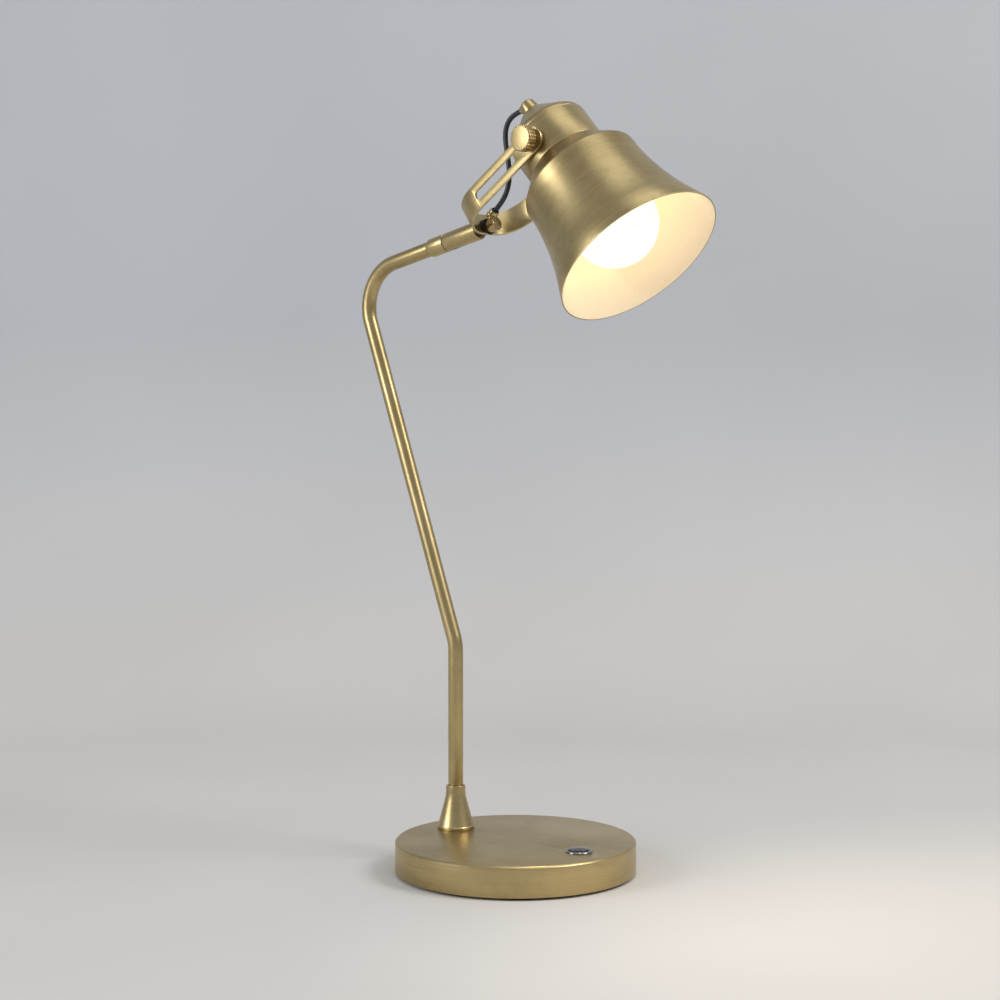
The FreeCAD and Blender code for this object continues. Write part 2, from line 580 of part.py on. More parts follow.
def make_swivel():
    joint = ("joint_x", "joint_z", "arm_turn")
    coupling = turned("swivel_coupling", [
        ("stem_dia / 2 + seat_gap", "-coupling_length"),
        ("sleeve_dia / 2", "-coupling_length + sleeve_taper"),
        ("sleeve_dia / 2", "0"),
        ("spigot_dia / 2", "0"),
        ("spigot_dia / 2", "spigot_length - sleeve_edge"),
        ("spigot_dia / 2 - sleeve_edge", "spigot_length"),
        ("wire_bore / 2", "spigot_length"),
        ("wire_bore / 2", "-coupling_length + coupling_seat"),
        ("stem_dia / 2 + seat_gap", "-coupling_length + coupling_seat")], *joint)
    groove = coupling.newObject("PartDesign::Groove", "stop_groove")
    groove.Profile = drawing(coupling, "XZ_Plane", [
        ("spigot_dia / 2 - stop_depth", "stop_height - stop_tip_dia / 2 - face_gap"),
        ("spigot_dia / 2 + drill_past", "stop_height - stop_tip_dia / 2 - face_gap"),
        ("spigot_dia / 2 + drill_past", "stop_height + stop_tip_dia / 2 + face_gap"),
        ("spigot_dia / 2 - stop_depth", "stop_height + stop_tip_dia / 2 + face_gap")])
    groove.ReferenceAxis = (plane(coupling, "Z_Axis"), [""])
    groove.Midplane = True
    tip_share = "asin(stop_tip_dia / (spigot_dia - 2 * stop_depth))"
    groove.setExpression("Angle", bound(f"2 deg * (head_swing + stop_play) + 2 * {tip_share}"))
    coupling.Tip = groove

    ring("swivel_washer", "spigot_dia / 2 + seat_gap", "sleeve_dia / 2 - sleeve_edge", "face_gap",
         "barrel_start", *joint)

    barrel = turned("swivel_barrel", [
        ("spigot_dia / 2 + running_gap", "barrel_start"),
        ("sleeve_dia / 2 - sleeve_edge", "barrel_start"),
        ("sleeve_dia / 2", "barrel_start + sleeve_edge"),
        ("sleeve_dia / 2", "barrel_end - sleeve_edge"),
        ("sleeve_dia / 2 - sleeve_edge", "barrel_end"),
        ("nipple_dia / 2 + seat_gap", "barrel_end"),
        ("nipple_dia / 2 + seat_gap", "barrel_end - nipple_seat"),
        ("wire_bore / 2", "barrel_end - nipple_seat"),
        ("wire_bore / 2", "spigot_length + spigot_room"),
        ("spigot_dia / 2 + running_gap", "spigot_length + spigot_room")], *joint)
    drill(barrel, "stop_screw_dia + 2 * seat_gap", "sleeve_dia / 2", "0", "0", "stop_height", "90")

    tip_start = "spigot_dia / 2 - stop_depth + face_gap"
    turned("stop_screw", [
        ("0", tip_start),
        ("stop_tip_dia / 2", tip_start),
        ("stop_tip_dia / 2", "spigot_dia / 2 + running_gap + face_gap"),
        ("stop_screw_dia / 2", "spigot_dia / 2 + running_gap + face_gap"),
        ("stop_screw_dia / 2", "sleeve_dia / 2 - sleeve_edge"),
        ("0", "sleeve_dia / 2 - sleeve_edge")],
        "joint_x + stop_height * cos(arm_rise)", "joint_z + stop_height * sin(arm_rise)", "180 - arm_rise")

    wide = "wedge_dia"
    outer = ring("outer_wedge", "nipple_dia / 2 + seat_gap", f"{wide} / 2", "barrel_end",
                 f"strip_reach + {wide}", *joint)
    through_cut(outer, "XZ_Plane", [
        (f"-{wide}", f"strip_reach - {wide} * tan(bevel)"),
        (wide, f"strip_reach + {wide} * tan(bevel)"),
        (wide, f"strip_reach + 3 * {wide}"),
        (f"-{wide}", f"strip_reach + 3 * {wide}")])
    wide = "inner_wedge_dia"
    face = "strip_reach + yoke_thick / cos(bevel)"
    inner = ring("inner_wedge", "nipple_dia / 2 + seat_gap", f"{wide} / 2", f"strip_reach - {wide}",
                 "barrel_end + outlet_gap", *joint)
    through_cut(inner, "XZ_Plane", [
        (f"-{wide}", f"{face} - {wide} * tan(bevel)"),
        (f"-{wide}", f"{face} - 3 * {wide}"),
        (wide, f"{face} - 3 * {wide}"),
        (wide, f"{face} + {wide} * tan(bevel)")])
    ring("yoke_nipple", "nipple_bore / 2", "nipple_dia / 2", "barrel_end - nipple_seat",
         "barrel_end + outlet_gap + outlet_length / 2", *joint)


def make_yoke():
    """A strip bent to a U, drawn from above in its own plane with the pivot at the origin."""
    yoke = piece("yoke", "pivot_x", "pivot_z", "yoke_turn")
    half = "yoke_span / 2"
    corner = "(yoke_corner - yoke_thick)"
    bend = yoke.newObject("PartDesign::Pad", "strip")
    bend.Profile = drawing(yoke, "XY_Plane", [
        ("yoke_width / 2", half),
        ("-yoke_length + yoke_corner", half),
        ("-yoke_length", f"{half} - yoke_corner", "yoke_corner"),
        ("-yoke_length", f"-{half} + yoke_corner"),
        ("-yoke_length + yoke_corner", f"-{half}", "yoke_corner"),
        ("yoke_width / 2", f"-{half}"),
        ("yoke_width / 2", f"-{half} + yoke_thick"),
        ("-yoke_length + yoke_corner", f"-{half} + yoke_thick"),
        ("-yoke_length + yoke_thick", f"-{half} + yoke_corner", f"-{corner}"),
        ("-yoke_length + yoke_thick", f"{half} - yoke_corner"),
        ("-yoke_length + yoke_corner", f"{half} - yoke_thick", f"-{corner}"),
        ("yoke_width / 2", f"{half} - yoke_thick")])
    bend.Midplane = True
    bend.setExpression("Length", bound("yoke_width"))
    for sign in ("", "-"):
        through_cut(yoke, "XZ_Plane", [
            ("yoke_width", f"{sign}yoke_width"),
            ("0", f"{sign}yoke_width"),
            ("0", f"{sign}yoke_width / 2"),
            ("yoke_width / 2", "0", "yoke_width / 2" if sign == "-" else "-yoke_width / 2"),
            ("yoke_width", "0")])
    slot_end = "slot_width / 2"
    through_cut(yoke, "XZ_Plane", [
        (f"-slot_near - {slot_end}", slot_end, slot_end),
        (f"-slot_far + {slot_end}", slot_end),
        ("-slot_far", "0", slot_end),
        (f"-slot_far + {slot_end}", f"-{slot_end}", slot_end),
        (f"-slot_near - {slot_end}", f"-{slot_end}"),
        ("-slot_near", "0", slot_end)])
    cross(yoke, "SubtractiveCylinder", "stud_dia + 2 * seat_gap", f"{half} - 2 * yoke_thick",
          f"{half} + yoke_thick")
    reach = "2 * wedge_gap"
    drill(yoke, "nipple_dia + 2 * seat_gap", f"2 * {reach}",
          f"-yoke_length - {reach} * cos(bevel)", "0",
          f"-yoke_shift + {reach} * sin(bevel)", "90 + bevel")


def make_outlet():
    """An elbow on the nipple's end: barrel, ball and snout, with the black bush in the snout."""
    base = "barrel_end + outlet_gap"
    rise = "-outlet_ball_rise"
    outlet = ring("lead_outlet", "0", "outlet_dia / 2", base, f"{base} + outlet_length", "joint_x",
                  "joint_z", "arm_turn")
    rod(outlet, "outlet_riser_dia", "outlet_ball_rise", rise, "0", "ball_reach", "90")
    feature(outlet, "AdditiveSphere", {"Radius": "outlet_ball_dia / 2"}, rise, "0", "ball_reach", name="ball")
    rod(outlet, "snout_dia", "snout_length", rise, "0", "ball_reach", "360 - snout_tilt")
    drill(outlet, "nipple_dia + 2 * seat_gap", "outlet_length / 2", "0", "0", base)
    seat = "(snout_length - bush_seat)"
    drill(outlet, "bush_dia + 2 * seat_gap", "bush_seat", f"{rise} - {seat} * sin(snout_tilt)", "0",
          f"ball_reach + {seat} * cos(snout_tilt)", "360 - snout_tilt")
    turned("lead_bush", [
        ("lead_dia / 2 + seat_gap", "snout_length - bush_seat"),
        ("bush_dia / 2", "snout_length - bush_seat"),
        ("bush_dia / 2", "snout_length + bush_collar"),
        ("lead_dia / 2 + seat_gap", "snout_length + bush_collar")],
        "joint_x + ball_reach * cos(arm_rise) - outlet_ball_rise * sin(arm_rise)",
        "joint_z + ball_reach * sin(arm_rise) + outlet_ball_rise * cos(arm_rise)",
        "90 - arm_rise - snout_tilt")


def make_shade():
    in_shade = ("shade_x", "shade_z", "shade_turn")
    edge = ("bell_dia / 2 - shoulder_step", "shoulder_height - shoulder_step")
    turned("shade_bell", [
        ("rim_dia / 2", "0"),
        ("flare_dia / 2", "flare_height"),
        ("bell_dia / 2", "bell_height", "-flare_radius"),
        ("bell_dia / 2", "shoulder_height - shoulder_round"),
        (*edge, "shoulder_round"),
        ("seat_dia / 2", "seat_height"),
        ("holder_hole_dia / 2", "seat_height"),
        ("holder_hole_dia / 2", "seat_height - bell_wall"),
        ("seat_dia / 2 - bell_slip", "seat_height - bell_wall"),
        (edge[0] + " - bell_wall", edge[1] + " - bell_slip"),
        ("bell_dia / 2 - bell_wall", "shoulder_height - shoulder_round - bell_slip",
         "-(shoulder_round - bell_slip)"),
        ("bell_dia / 2 - bell_wall", "bell_height"),
        ("flare_dia / 2 - bell_wall", "flare_height", "flare_radius + bell_wall"),
        ("rim_dia / 2 - bell_wall", "0")], *in_shade)

    neck = turned("neck_housing", [
        ("holder_hole_dia / 2", "seat_height"),
        ("neck_dia / 2 - neck_edge", "seat_height"),
        ("neck_dia / 2", "seat_height + neck_edge"),
        ("neck_dia / 2", "neck_height"),
        ("neck_dia / 2 - neck_wall", "neck_height"),
        ("neck_dia / 2 - neck_wall", "seat_height + neck_wall"),
        ("holder_hole_dia / 2", "seat_height + neck_wall")], *in_shade)
    at_pivot = ("pivot_offset", "pivot_height")
    cross(neck, "AdditiveCylinder", "boss_dia", "boss_root", "boss_face", *at_pivot)
    cross(neck, "SubtractiveCylinder", "stud_dia + 2 * seat_gap", "boss_root - drill_past",
          "boss_face + drill_past", *at_pivot)

    spigot = "neck_dia / 2 - neck_wall - seat_gap"
    cone_start = "neck_height + cap_lift + cap_lift * cap_climb / cap_slant"
    turned("neck_cap", [
        ("gland_thread / 2 + seat_gap", "cap_height"),
        ("gland_thread / 2 + seat_gap", "cap_height - cap_wall"),
        ("cap_end_dia / 2 + neck_edge - cap_wall * cap_climb / cap_slant", "cap_height - cap_wall"),
        (f"{spigot} - cap_wall", f"{cone_start} - cap_wall * cap_drop / cap_slant"),
        (f"{spigot} - cap_wall", "neck_height - cap_spigot"),
        (spigot, "neck_height - cap_spigot"),
        (spigot, "neck_height"),
        ("neck_dia / 2", "neck_height"),
        ("neck_dia / 2 - cap_lift * cap_drop / cap_slant", cone_start,
         "cap_lift * cap_drop / (cap_slant - cap_climb)"),
        ("cap_end_dia / 2 + neck_edge", "cap_height - neck_edge"),
        ("cap_end_dia / 2 - neck_edge", "cap_height")], *in_shade)

    top = "cap_height + gland_height"
    gland = turned("lead_gland", [
        ("0", "cap_height - gland_tail"),
        ("gland_thread / 2", "cap_height - gland_tail"),
        ("gland_thread / 2", "cap_height"),
        ("gland_base_dia / 2", "cap_height"),
        ("gland_dia / 2", f"{top} - gland_round"),
        ("gland_dia / 2 - gland_round", top, "gland_round"),
        ("0", top)], *in_shade)
    drill(gland, "lead_dia + 2 * seat_gap", "gland_tail + gland_eye_height", "0", "0", "cap_height - gland_tail")
    rod(gland, "gland_eye_dia", "gland_eye_reach", "0", "0", "cap_height + gland_eye_height",
        "270 + gland_eye_tilt")
    below = "(cap_height - cap_wall - gland_nut_height)"
    nut("gland_nut", "gland_nut_width", "gland_nut_height", "gland_thread + 2 * seat_gap",
        f"shade_x - {below} * cos(shade_pitch)", f"shade_z + {below} * sin(shade_pitch)", "shade_turn")


def make_pivot_hardware():
    """Nuts, washers, clamp screws and knobs, alike on both sides of the neck."""
    pivot = ("pivot_x", "pivot_z", "shade_turn")
    nuts = piece("pivot_nuts", *pivot)
    washers = piece("arm_washers", *pivot)
    nut_start = "boss_root - pivot_nut_height"
    cross(nuts, "AdditiveCylinder", "pivot_nut_width", nut_start, "boss_root")
    cross(nuts, "SubtractiveCylinder", "stud_dia + 2 * running_gap", nut_start + " - drill_past",
          "boss_root + drill_past")
    cross(washers, "AdditiveCylinder", "arm_washer_dia", "boss_face", "boss_face + arm_washer_thick")
    cross(washers, "SubtractiveCylinder", "stud_dia + 2 * seat_gap", "boss_face - drill_past",
          "boss_face + 2 * arm_washer_thick")
    foot = "yoke_span / 2 + face_gap"
    head = foot + " + knob_hub"
    top = head + " + knob_head"
    for side, turn in (("near", "90"), ("far", "270")):
        knob = turned(f"{side}_knob", [
            ("0", foot),
            ("knob_hub_dia / 2", foot),
            ("knob_hub_dia / 2", head),
            ("knob_dia / 2 - knob_edge", head),
            ("knob_dia / 2", head + " + knob_edge"),
            ("knob_dia / 2", top + " - knob_edge"),
            ("knob_dia / 2 - knob_edge", top),
            ("0", top)])
        flute = drill(knob, "flute_dia", "knob_head", "knob_dia / 2 + flute_out", "0", head)
        around(knob, [flute], "flute_count")
        drill(knob, "stud_dia", "stud_seat", "0", "0", foot)
        stud = ring(f"{side}_stud", "0", "stud_dia / 2", nut_start + " - stud_inset", foot + " + stud_seat")
        for body in (knob, stud):
            body.Placement.Rotation = FreeCAD.Rotation(FreeCAD.Vector(1, 0, 0), 90 if side == "near" else 270)
            body.setExpression("Placement.Rotation.Angle", turn)
            body.setExpression("Placement.Base.x", bound("pivot_x"))
            body.setExpression("Placement.Base.z", bound("pivot_z"))


def make_lampholder():
    in_shade = ("shade_x", "shade_z", "shade_turn")
    bore = "shell_dia / 2 + seat_gap"
    turned("lampholder", [
        (bore, "holder_front"),
        ("holder_dia / 2", "holder_front"),
        ("holder_dia / 2", "seat_height + neck_wall"),
        ("holder_flange_dia / 2", "seat_height + neck_wall"),
        ("holder_flange_dia / 2", "seat_height + neck_wall + holder_flange"),
        ("holder_dia / 2", "seat_height + neck_wall + holder_flange"),
        ("holder_dia / 2", "holder_rear - holder_floor"),
        ("holder_dia / 2 - holder_floor", "holder_rear"),
        ("0", "holder_rear"),
        ("0", "holder_rear - holder_floor"),
        (bore, "holder_rear - holder_floor")], *in_shade)
    ring("holder_ring", "holder_dia / 2 + seat_gap", "ring_dia / 2", "seat_height - bell_wall - ring_height",
         "seat_height - bell_wall", *in_shade)
    ring("lampholder_shell", "shell_dia / 2 - shell_wall", "shell_dia / 2", "holder_front + shell_inset",
         "holder_front + shell_inset + shell_length", *in_shade)
    ring("lampholder_contact", "0", "contact_dia / 2", "bulb_end + face_gap", "holder_rear - holder_floor",
         *in_shade)

    lay("globe", "bulb_dia / 2")
    lay("globe_inside", "globe - bulb_glass_wall")
    lay("glass_bend", "(globe * cos(bulb_shoulder) - bulb_neck / 2) / (1 - cos(bulb_shoulder))")
    lay("glass_end", "bulb_centre + (globe + glass_bend) * sin(bulb_shoulder)")
    turned("bulb_glass", [
        ("0", "bulb_centre - globe"),
        ("globe * cos(bulb_shoulder)", "bulb_centre + globe * sin(bulb_shoulder)", "globe"),
        ("bulb_neck / 2", "glass_end", "-glass_bend"),
        ("bulb_neck / 2 - bulb_glass_wall", "glass_end"),
        ("globe_inside * cos(bulb_shoulder)", "bulb_centre + globe_inside * sin(bulb_shoulder)",
         "glass_bend + bulb_glass_wall"),
        ("0", "bulb_centre - globe_inside", "-globe_inside")], *in_shade)
    turned("bulb_cap", [
        ("0", "glass_end"),
        ("bulb_cap_dia / 2", "glass_end"),
        ("bulb_cap_dia / 2", "bulb_end - bulb_tip - bulb_cap_taper"),
        ("bulb_cap_end_dia / 2", "bulb_end - bulb_tip"),
        ("0", "bulb_end - bulb_tip")], *in_shade)
    ring("bulb_contact", "0", "bulb_tip_dia / 2", "bulb_end - bulb_tip", "bulb_end", *in_shade)


# The lead's own route between the outlet and the gland, by hand, across and up in the plane Y = 0,
# and the share of each straight run that an arc takes at either end.
LEAD_POINTS = [(-14.0, 470.3), (-9.8, 475.4), (-6.9, 481.9), (-5.8, 489.6), (-6.7, 497.8), (-8.3, 505.9),
               (-9.7, 513.7), (-9.6, 520.8), (-6.9, 526.9), (-1.3, 530.9)]
BEND_SHARE = 0.45


def make_lead():
    """A limp lead as straight runs joined by arcs, from the bush to the gland's eye."""
    rise = value("arm_rise")
    snout = math.radians(rise + value("snout_tilt"))
    joint = FreeCAD.Vector(value("joint_x"), 0, value("joint_z"))
    along = FreeCAD.Vector(math.cos(math.radians(rise)), 0, math.sin(math.radians(rise)))
    over = FreeCAD.Vector(-along.z, 0, along.x)
    ball = joint + along * value("ball_reach") + over * value("outlet_ball_rise")
    out = FreeCAD.Vector(math.cos(snout), 0, math.sin(snout))
    start = ball + out * value("snout_length + bush_collar + lead_gap")
    pitch = math.radians(value("shade_pitch"))
    rearward = FreeCAD.Vector(-math.cos(pitch), 0, math.sin(pitch))
    forward = FreeCAD.Vector(math.sin(pitch), 0, math.cos(pitch))
    tilt = math.radians(value("gland_eye_tilt"))
    eye_way = rearward * math.sin(tilt) - forward * math.cos(tilt)
    rim = FreeCAD.Vector(value("shade_x"), 0, value("shade_z"))
    eye = rim + rearward * value("cap_height + gland_eye_height")
    stop = eye + eye_way * value("gland_eye_reach + lead_gap")
    print("lead from", start, "way", out, "to", stop, "way", eye_way)
    route = [start] + [FreeCAD.Vector(across, 0, up) for across, up in LEAD_POINTS] + [stop]
    edges = []
    here = route[0]
    for before, corner, after in zip(route, route[1:], route[2:]):
        come = corner - before
        leave = after - corner
        turn = come.getAngle(leave)
        run = BEND_SHARE * min(come.Length, leave.Length)
        radius = run / math.tan(turn / 2)
        print(f"lead radius {radius:.1f} turn {math.degrees(turn):.0f} run {come.Length:.1f}")
        come.normalize()
        leave.normalize()
        enter = corner - come * run
        bulge = corner + (leave - come).normalize() * (radius / math.cos(turn / 2) - radius)
        edges.append(Part.LineSegment(here, enter).toShape())
        edges.append(Part.Arc(enter, bulge, corner + leave * run).toShape())
        here = corner + leave * run
    edges.append(Part.LineSegment(here, route[-1]).toShape())
    path = Part.Wire(edges)
    lead_radius = value("lead_dia") / 2
    section = Part.Wire(Part.makeCircle(lead_radius, start, edges[0].tangentAt(edges[0].FirstParameter)))
    lead = doc.addObject("Part::Feature", "head_lead")
    lead.Label = "head_lead"
    lead.Shape = path.makePipeShell([section], True, False)
    print(f"lead volume {lead.Shape.Volume:.1f} against {math.pi * lead_radius ** 2 * path.Length:.1f},"
          f" length {path.Length:.1f}")
    pieces.append(lead)


make_base()
make_stem()
make_switch()
make_swivel()
make_yoke()
make_outlet()
make_shade()
make_pivot_hardware()
make_lampholder()
make_lead()
doc.recompute()

failed = [thing.Name for thing in doc.Objects if {"Invalid", "Error"} & set(thing.State)]
failed += [body.Label for body in pieces if body.Shape.isNull() or not body.Shape.isValid()]
if failed:
    raise RuntimeError(f"not built: {failed}")
os.makedirs("parts", exist_ok=True)
for body in pieces:
    body.Shape.exportStep(f"parts/{body.Label}.step")
    print(f"{body.Label}: {len(body.Shape.Solids)} solids, {body.Shape.Volume:.0f} cubic mm")
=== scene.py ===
import math

import bmesh
import bpy
from mathutils import Matrix, Vector


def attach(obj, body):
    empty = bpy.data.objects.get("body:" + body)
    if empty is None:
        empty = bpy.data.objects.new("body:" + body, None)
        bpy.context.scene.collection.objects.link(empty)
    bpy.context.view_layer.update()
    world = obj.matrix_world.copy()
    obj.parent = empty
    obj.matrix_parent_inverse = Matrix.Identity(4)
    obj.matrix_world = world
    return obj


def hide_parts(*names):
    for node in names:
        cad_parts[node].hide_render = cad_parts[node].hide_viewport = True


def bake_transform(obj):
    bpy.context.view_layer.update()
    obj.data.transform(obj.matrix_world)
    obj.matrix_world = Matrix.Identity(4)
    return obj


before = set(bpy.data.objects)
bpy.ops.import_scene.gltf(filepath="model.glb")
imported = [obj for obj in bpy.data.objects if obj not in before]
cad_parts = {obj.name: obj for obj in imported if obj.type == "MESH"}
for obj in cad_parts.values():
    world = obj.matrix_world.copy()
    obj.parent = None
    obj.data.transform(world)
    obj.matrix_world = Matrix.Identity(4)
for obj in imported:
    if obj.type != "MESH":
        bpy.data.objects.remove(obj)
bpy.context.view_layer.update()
print("frame loaded:", len(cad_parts), "nodes")

# Pieces are drawn in millimetres about their own axis, and turned into metres as they are placed.
unit = 0.001
yAxis = Vector((0, 1, 0))
weld = {"spun": 0.0005, "cut": 0.001, "plane": 0.0001}


def linked(name, data):
    piece = bpy.data.objects.new(name, data)
    bpy.context.scene.collection.objects.link(piece)
    return piece


def slanted(degrees, sign=1):
    # a direction in the lamp's middle plane, so many degrees above level
    return Vector((sign * math.cos(math.radians(degrees)), 0, math.sin(math.radians(degrees))))


places = {
    "shadeAxis": slanted(48, -1),
    "armAxis": slanted(12.5),
    "joint": Vector((-65.9952, 0, 445.8655)),
    "pivot": Vector((41.5550, 0, 506.8982)),
    "rim": Vector((109.0789, 0, 426.6747)),
    "foot": Vector((-58, 0, 23)),
    "switch": Vector((58, 0, 23)),
}


def axisFrame(origin, axis):
    # local Z runs along the axis, and local Y is the world's Y where that can be
    up = Vector(axis).normalized()
    side = yAxis.cross(up) if abs(up.y) < 0.9 else Vector((1, 0, 0))
    side.normalize()
    turn = Matrix((side, up.cross(side), up)).transposed().to_4x4()
    return Matrix.Translation(Vector(origin)) @ turn


upright = axisFrame((0, 0, 0), (0, 0, 1))
inFoot = axisFrame(places["foot"], (0, 0, 1))
inSwitch = axisFrame(places["switch"], (0, 0, 1))
inArm = axisFrame(places["joint"], places["armAxis"])
inShade = axisFrame(places["rim"], places["shadeAxis"])
yokeLean = math.radians(-35)
inYoke = Matrix.Translation(places["pivot"]) @ Matrix.Rotation(yokeLean, 4, "Y")

# the photograph's camera, fitted to the base circles, the stem and the rim
cameraLook = {"place": (0.9291, -1.0465, 0.3311), "azimuth": 42.05, "pitch": 2.79, "lens": 72}


def addCamera(look):
    turn, tip = math.radians(look["azimuth"]), math.radians(look["pitch"])
    right = Vector((math.cos(turn), math.sin(turn), 0))
    level = Vector((math.sin(turn), -math.cos(turn), 0))
    back = level * math.cos(tip) + Vector((0, 0, math.sin(tip)))
    above = back.cross(right)
    data = bpy.data.cameras.new("photoCamera")
    data.lens, data.sensor_width = look["lens"], 36
    camera = linked("photoCamera", data)
    camera.matrix_world = Matrix.Translation(look["place"]) @ Matrix((right, above, back)).transposed().to_4x4()
    bpy.context.scene.camera = camera
    return right, level


cameraRight, cameraBack = addCamera(cameraLook)
print("camera set")


def colour(red, green, blue):
    # a colour as a picture shows it, 0 to 255, made linear
    parts = [value / 255 for value in (red, green, blue)]
    return [part / 12.92 if part < 0.04 else ((part + 0.055) / 1.055) ** 2.4 for part in parts] + [1]


def newGroup(name, takes, gives):
    group = bpy.data.node_groups.new(name, "ShaderNodeTree")
    for word, kind, start in takes:
        socket = group.interface.new_socket(name=word, in_out="INPUT", socket_type="NodeSocket" + kind)
        if start is not None:
            socket.default_value = start
    for word, kind in gives:
        group.interface.new_socket(name=word, in_out="OUTPUT", socket_type="NodeSocket" + kind)
    return group, group.nodes.new("NodeGroupInput").outputs, group.nodes.new("NodeGroupOutput").inputs


def feed(tree, socket, source):
    if isinstance(source, bpy.types.NodeSocket):
        tree.links.new(source, socket)
    elif source is not None:
        socket.default_value = source


def ownPlace(tree):
    return tree.nodes.new("ShaderNodeTexCoord").outputs["Object"]


def split(tree, vector):
    node = tree.nodes.new("ShaderNodeSeparateXYZ")
    feed(tree, node.inputs[0], vector)
    return node.outputs


def sums(tree, operation, *sources):
    node = tree.nodes.new("ShaderNodeMath")
    node.operation = operation
    for socket, source in zip(node.inputs, sources):
        feed(tree, socket, source)
    return node.outputs[0]


def noise(tree, vector, scale, detail=3, roughness=0.5, w=None):
    node = tree.nodes.new("ShaderNodeTexNoise")
    node.noise_dimensions = "3D" if w is None else "4D"
    feed(tree, node.inputs["Vector"], vector)
    feed(tree, node.inputs["Scale"], scale)
    feed(tree, node.inputs["Detail"], detail)
    feed(tree, node.inputs["Roughness"], roughness)
    if w is not None:
        feed(tree, node.inputs["W"], w)
    return node.outputs["Fac"]


def ranged(tree, source, low, high, newLow=0, newHigh=1):
    node = tree.nodes.new("ShaderNodeMapRange")
    for word, value in (("Value", source), ("From Min", low), ("From Max", high),
                        ("To Min", newLow), ("To Max", newHigh)):
        feed(tree, node.inputs[word], value)
    return node.outputs["Result"]


def mixed(tree, factor, first, second):
    node = tree.nodes.new("ShaderNodeMix")
    node.data_type = "RGBA"
    for index, source in ((0, factor), (6, first), (7, second)):
        feed(tree, node.inputs[index], source)
    return node.outputs[2]


def turnedGrainGroup():
    # fine lines round an axis, as a lathe or a round brush leaves them
    group, takes, gives = newGroup("turnedGrain", [
        ("Place", "Vector", None), ("Fine", "Float", 2600.0), ("Around", "Float", 1.5)], [("Grain", "Float")])
    x, y, z = split(group, takes["Place"])
    radius = sums(group, "SQRT", sums(group, "ADD", sums(group, "MULTIPLY", x, x), sums(group, "MULTIPLY", y, y)))
    wrapped = group.nodes.new("ShaderNodeCombineXYZ")
    for socket, part in zip(wrapped.inputs, (x, y)):
        feed(group, socket, sums(group, "MULTIPLY", sums(group, "DIVIDE", part, radius), takes["Around"]))
    feed(group, wrapped.inputs[2], sums(group, "MULTIPLY", z, takes["Fine"]))
    lines = noise(group, wrapped.outputs[0], 1.0, 3, 0.55, sums(group, "MULTIPLY", radius, takes["Fine"]))
    feed(group, gives["Grain"], lines)
    return group


def longGrainGroup():
    # fine lines along the local X axis, as a belt leaves them on a strip
    group, takes, gives = newGroup("longGrain", [
        ("Place", "Vector", None), ("Fine", "Float", 2200.0), ("Stretch", "Float", 0.03)], [("Grain", "Float")])
    x, y, z = split(group, takes["Place"])
    stretched = group.nodes.new("ShaderNodeCombineXYZ")
    for socket, part in zip(stretched.inputs, (sums(group, "MULTIPLY", x, takes["Stretch"]), y, z)):
        feed(group, socket, part)
    feed(group, gives["Grain"], noise(group, stretched.outputs[0], takes["Fine"], 3, 0.55))
    return group


def patinaGroup():
    # soft clouds of darker and lighter lacquer, with a finer mottle in them
    group, takes, gives = newGroup("patinaClouds", [
        ("Place", "Vector", None), ("Size", "Float", 26.0), ("Mottle", "Float", 0.25)], [("Clouds", "Float")])
    broad = noise(group, takes["Place"], takes["Size"], 3, 0.5)
    fine = noise(group, takes["Place"], sums(group, "MULTIPLY", takes["Size"], 9.0), 4, 0.6)
    blend = sums(group, "ADD", broad, sums(group, "MULTIPLY", sums(group, "SUBTRACT", fine, 0.5), takes["Mottle"]))
    feed(group, gives["Clouds"], ranged(group, blend, 0.3, 0.7))
    return group


def wearAndEdgeHighlightGroup():
    # rubbed edges with a painted edge highlight: the bevelled faces carry the attribute edge, broken up by noise
    group, takes, gives = newGroup("edgeWear", [
        ("Place", "Vector", None), ("Amount", "Float", 0.8)], [("Wear", "Float")])
    mark = group.nodes.new("ShaderNodeAttribute")
    mark.attribute_name = "edge"
    patches = ranged(group, noise(group, takes["Place"], 140.0, 3, 0.6), 0.32, 0.6)
    rubbed = sums(group, "MULTIPLY", mark.outputs["Fac"], patches)
    feed(group, gives["Wear"], sums(group, "MULTIPLY", rubbed, takes["Amount"]))
    return group


def brassGroup():
    # the lacquered brass's colour and roughness from its grain, clouds and edge wear; the lighter edges are partly a
    # painted highlight
    group, takes, gives = newGroup("agedBrass", [
        ("Grain", "Float", 0.5), ("Clouds", "Float", 0.5), ("Wear", "Float", 0.0),
        ("Dark", "Color", (0.2, 0.15, 0.07, 1)), ("Mid", "Color", (0.5, 0.4, 0.2, 1)),
        ("Light", "Color", (0.8, 0.7, 0.45, 1)), ("Rough", "Float", 0.34)],
        [("Color", "Color"), ("Roughness", "Float")])
    tone = mixed(group, takes["Clouds"], takes["Dark"], takes["Mid"])
    lines = ranged(group, takes["Grain"], 0.35, 0.75, 0.0, 0.22)
    tone = mixed(group, lines, tone, takes["Light"])
    # bevelled edges go to the light tone: rubbed brass, and a painted edge highlight too
    feed(group, gives["Color"], mixed(group, takes["Wear"], tone, takes["Light"]))
    uneven = sums(group, "ADD", takes["Rough"], ranged(group, takes["Grain"], 0.2, 0.8, -0.05, 0.06))
    feed(group, gives["Roughness"], sums(group, "SUBTRACT", uneven, sums(group, "MULTIPLY", takes["Clouds"], 0.05)))
    return group


groups = {
    "turned": turnedGrainGroup(), "long": longGrainGroup(), "patina": patinaGroup(), "wearAndHighlight": wearAndEdgeHighlightGroup(),
    "brass": brassGroup()}


def newMaterial(name):
    material = bpy.data.materials.new(name)
    material.use_nodes = True
    return material, material.node_tree, material.node_tree.nodes["Principled BSDF"]


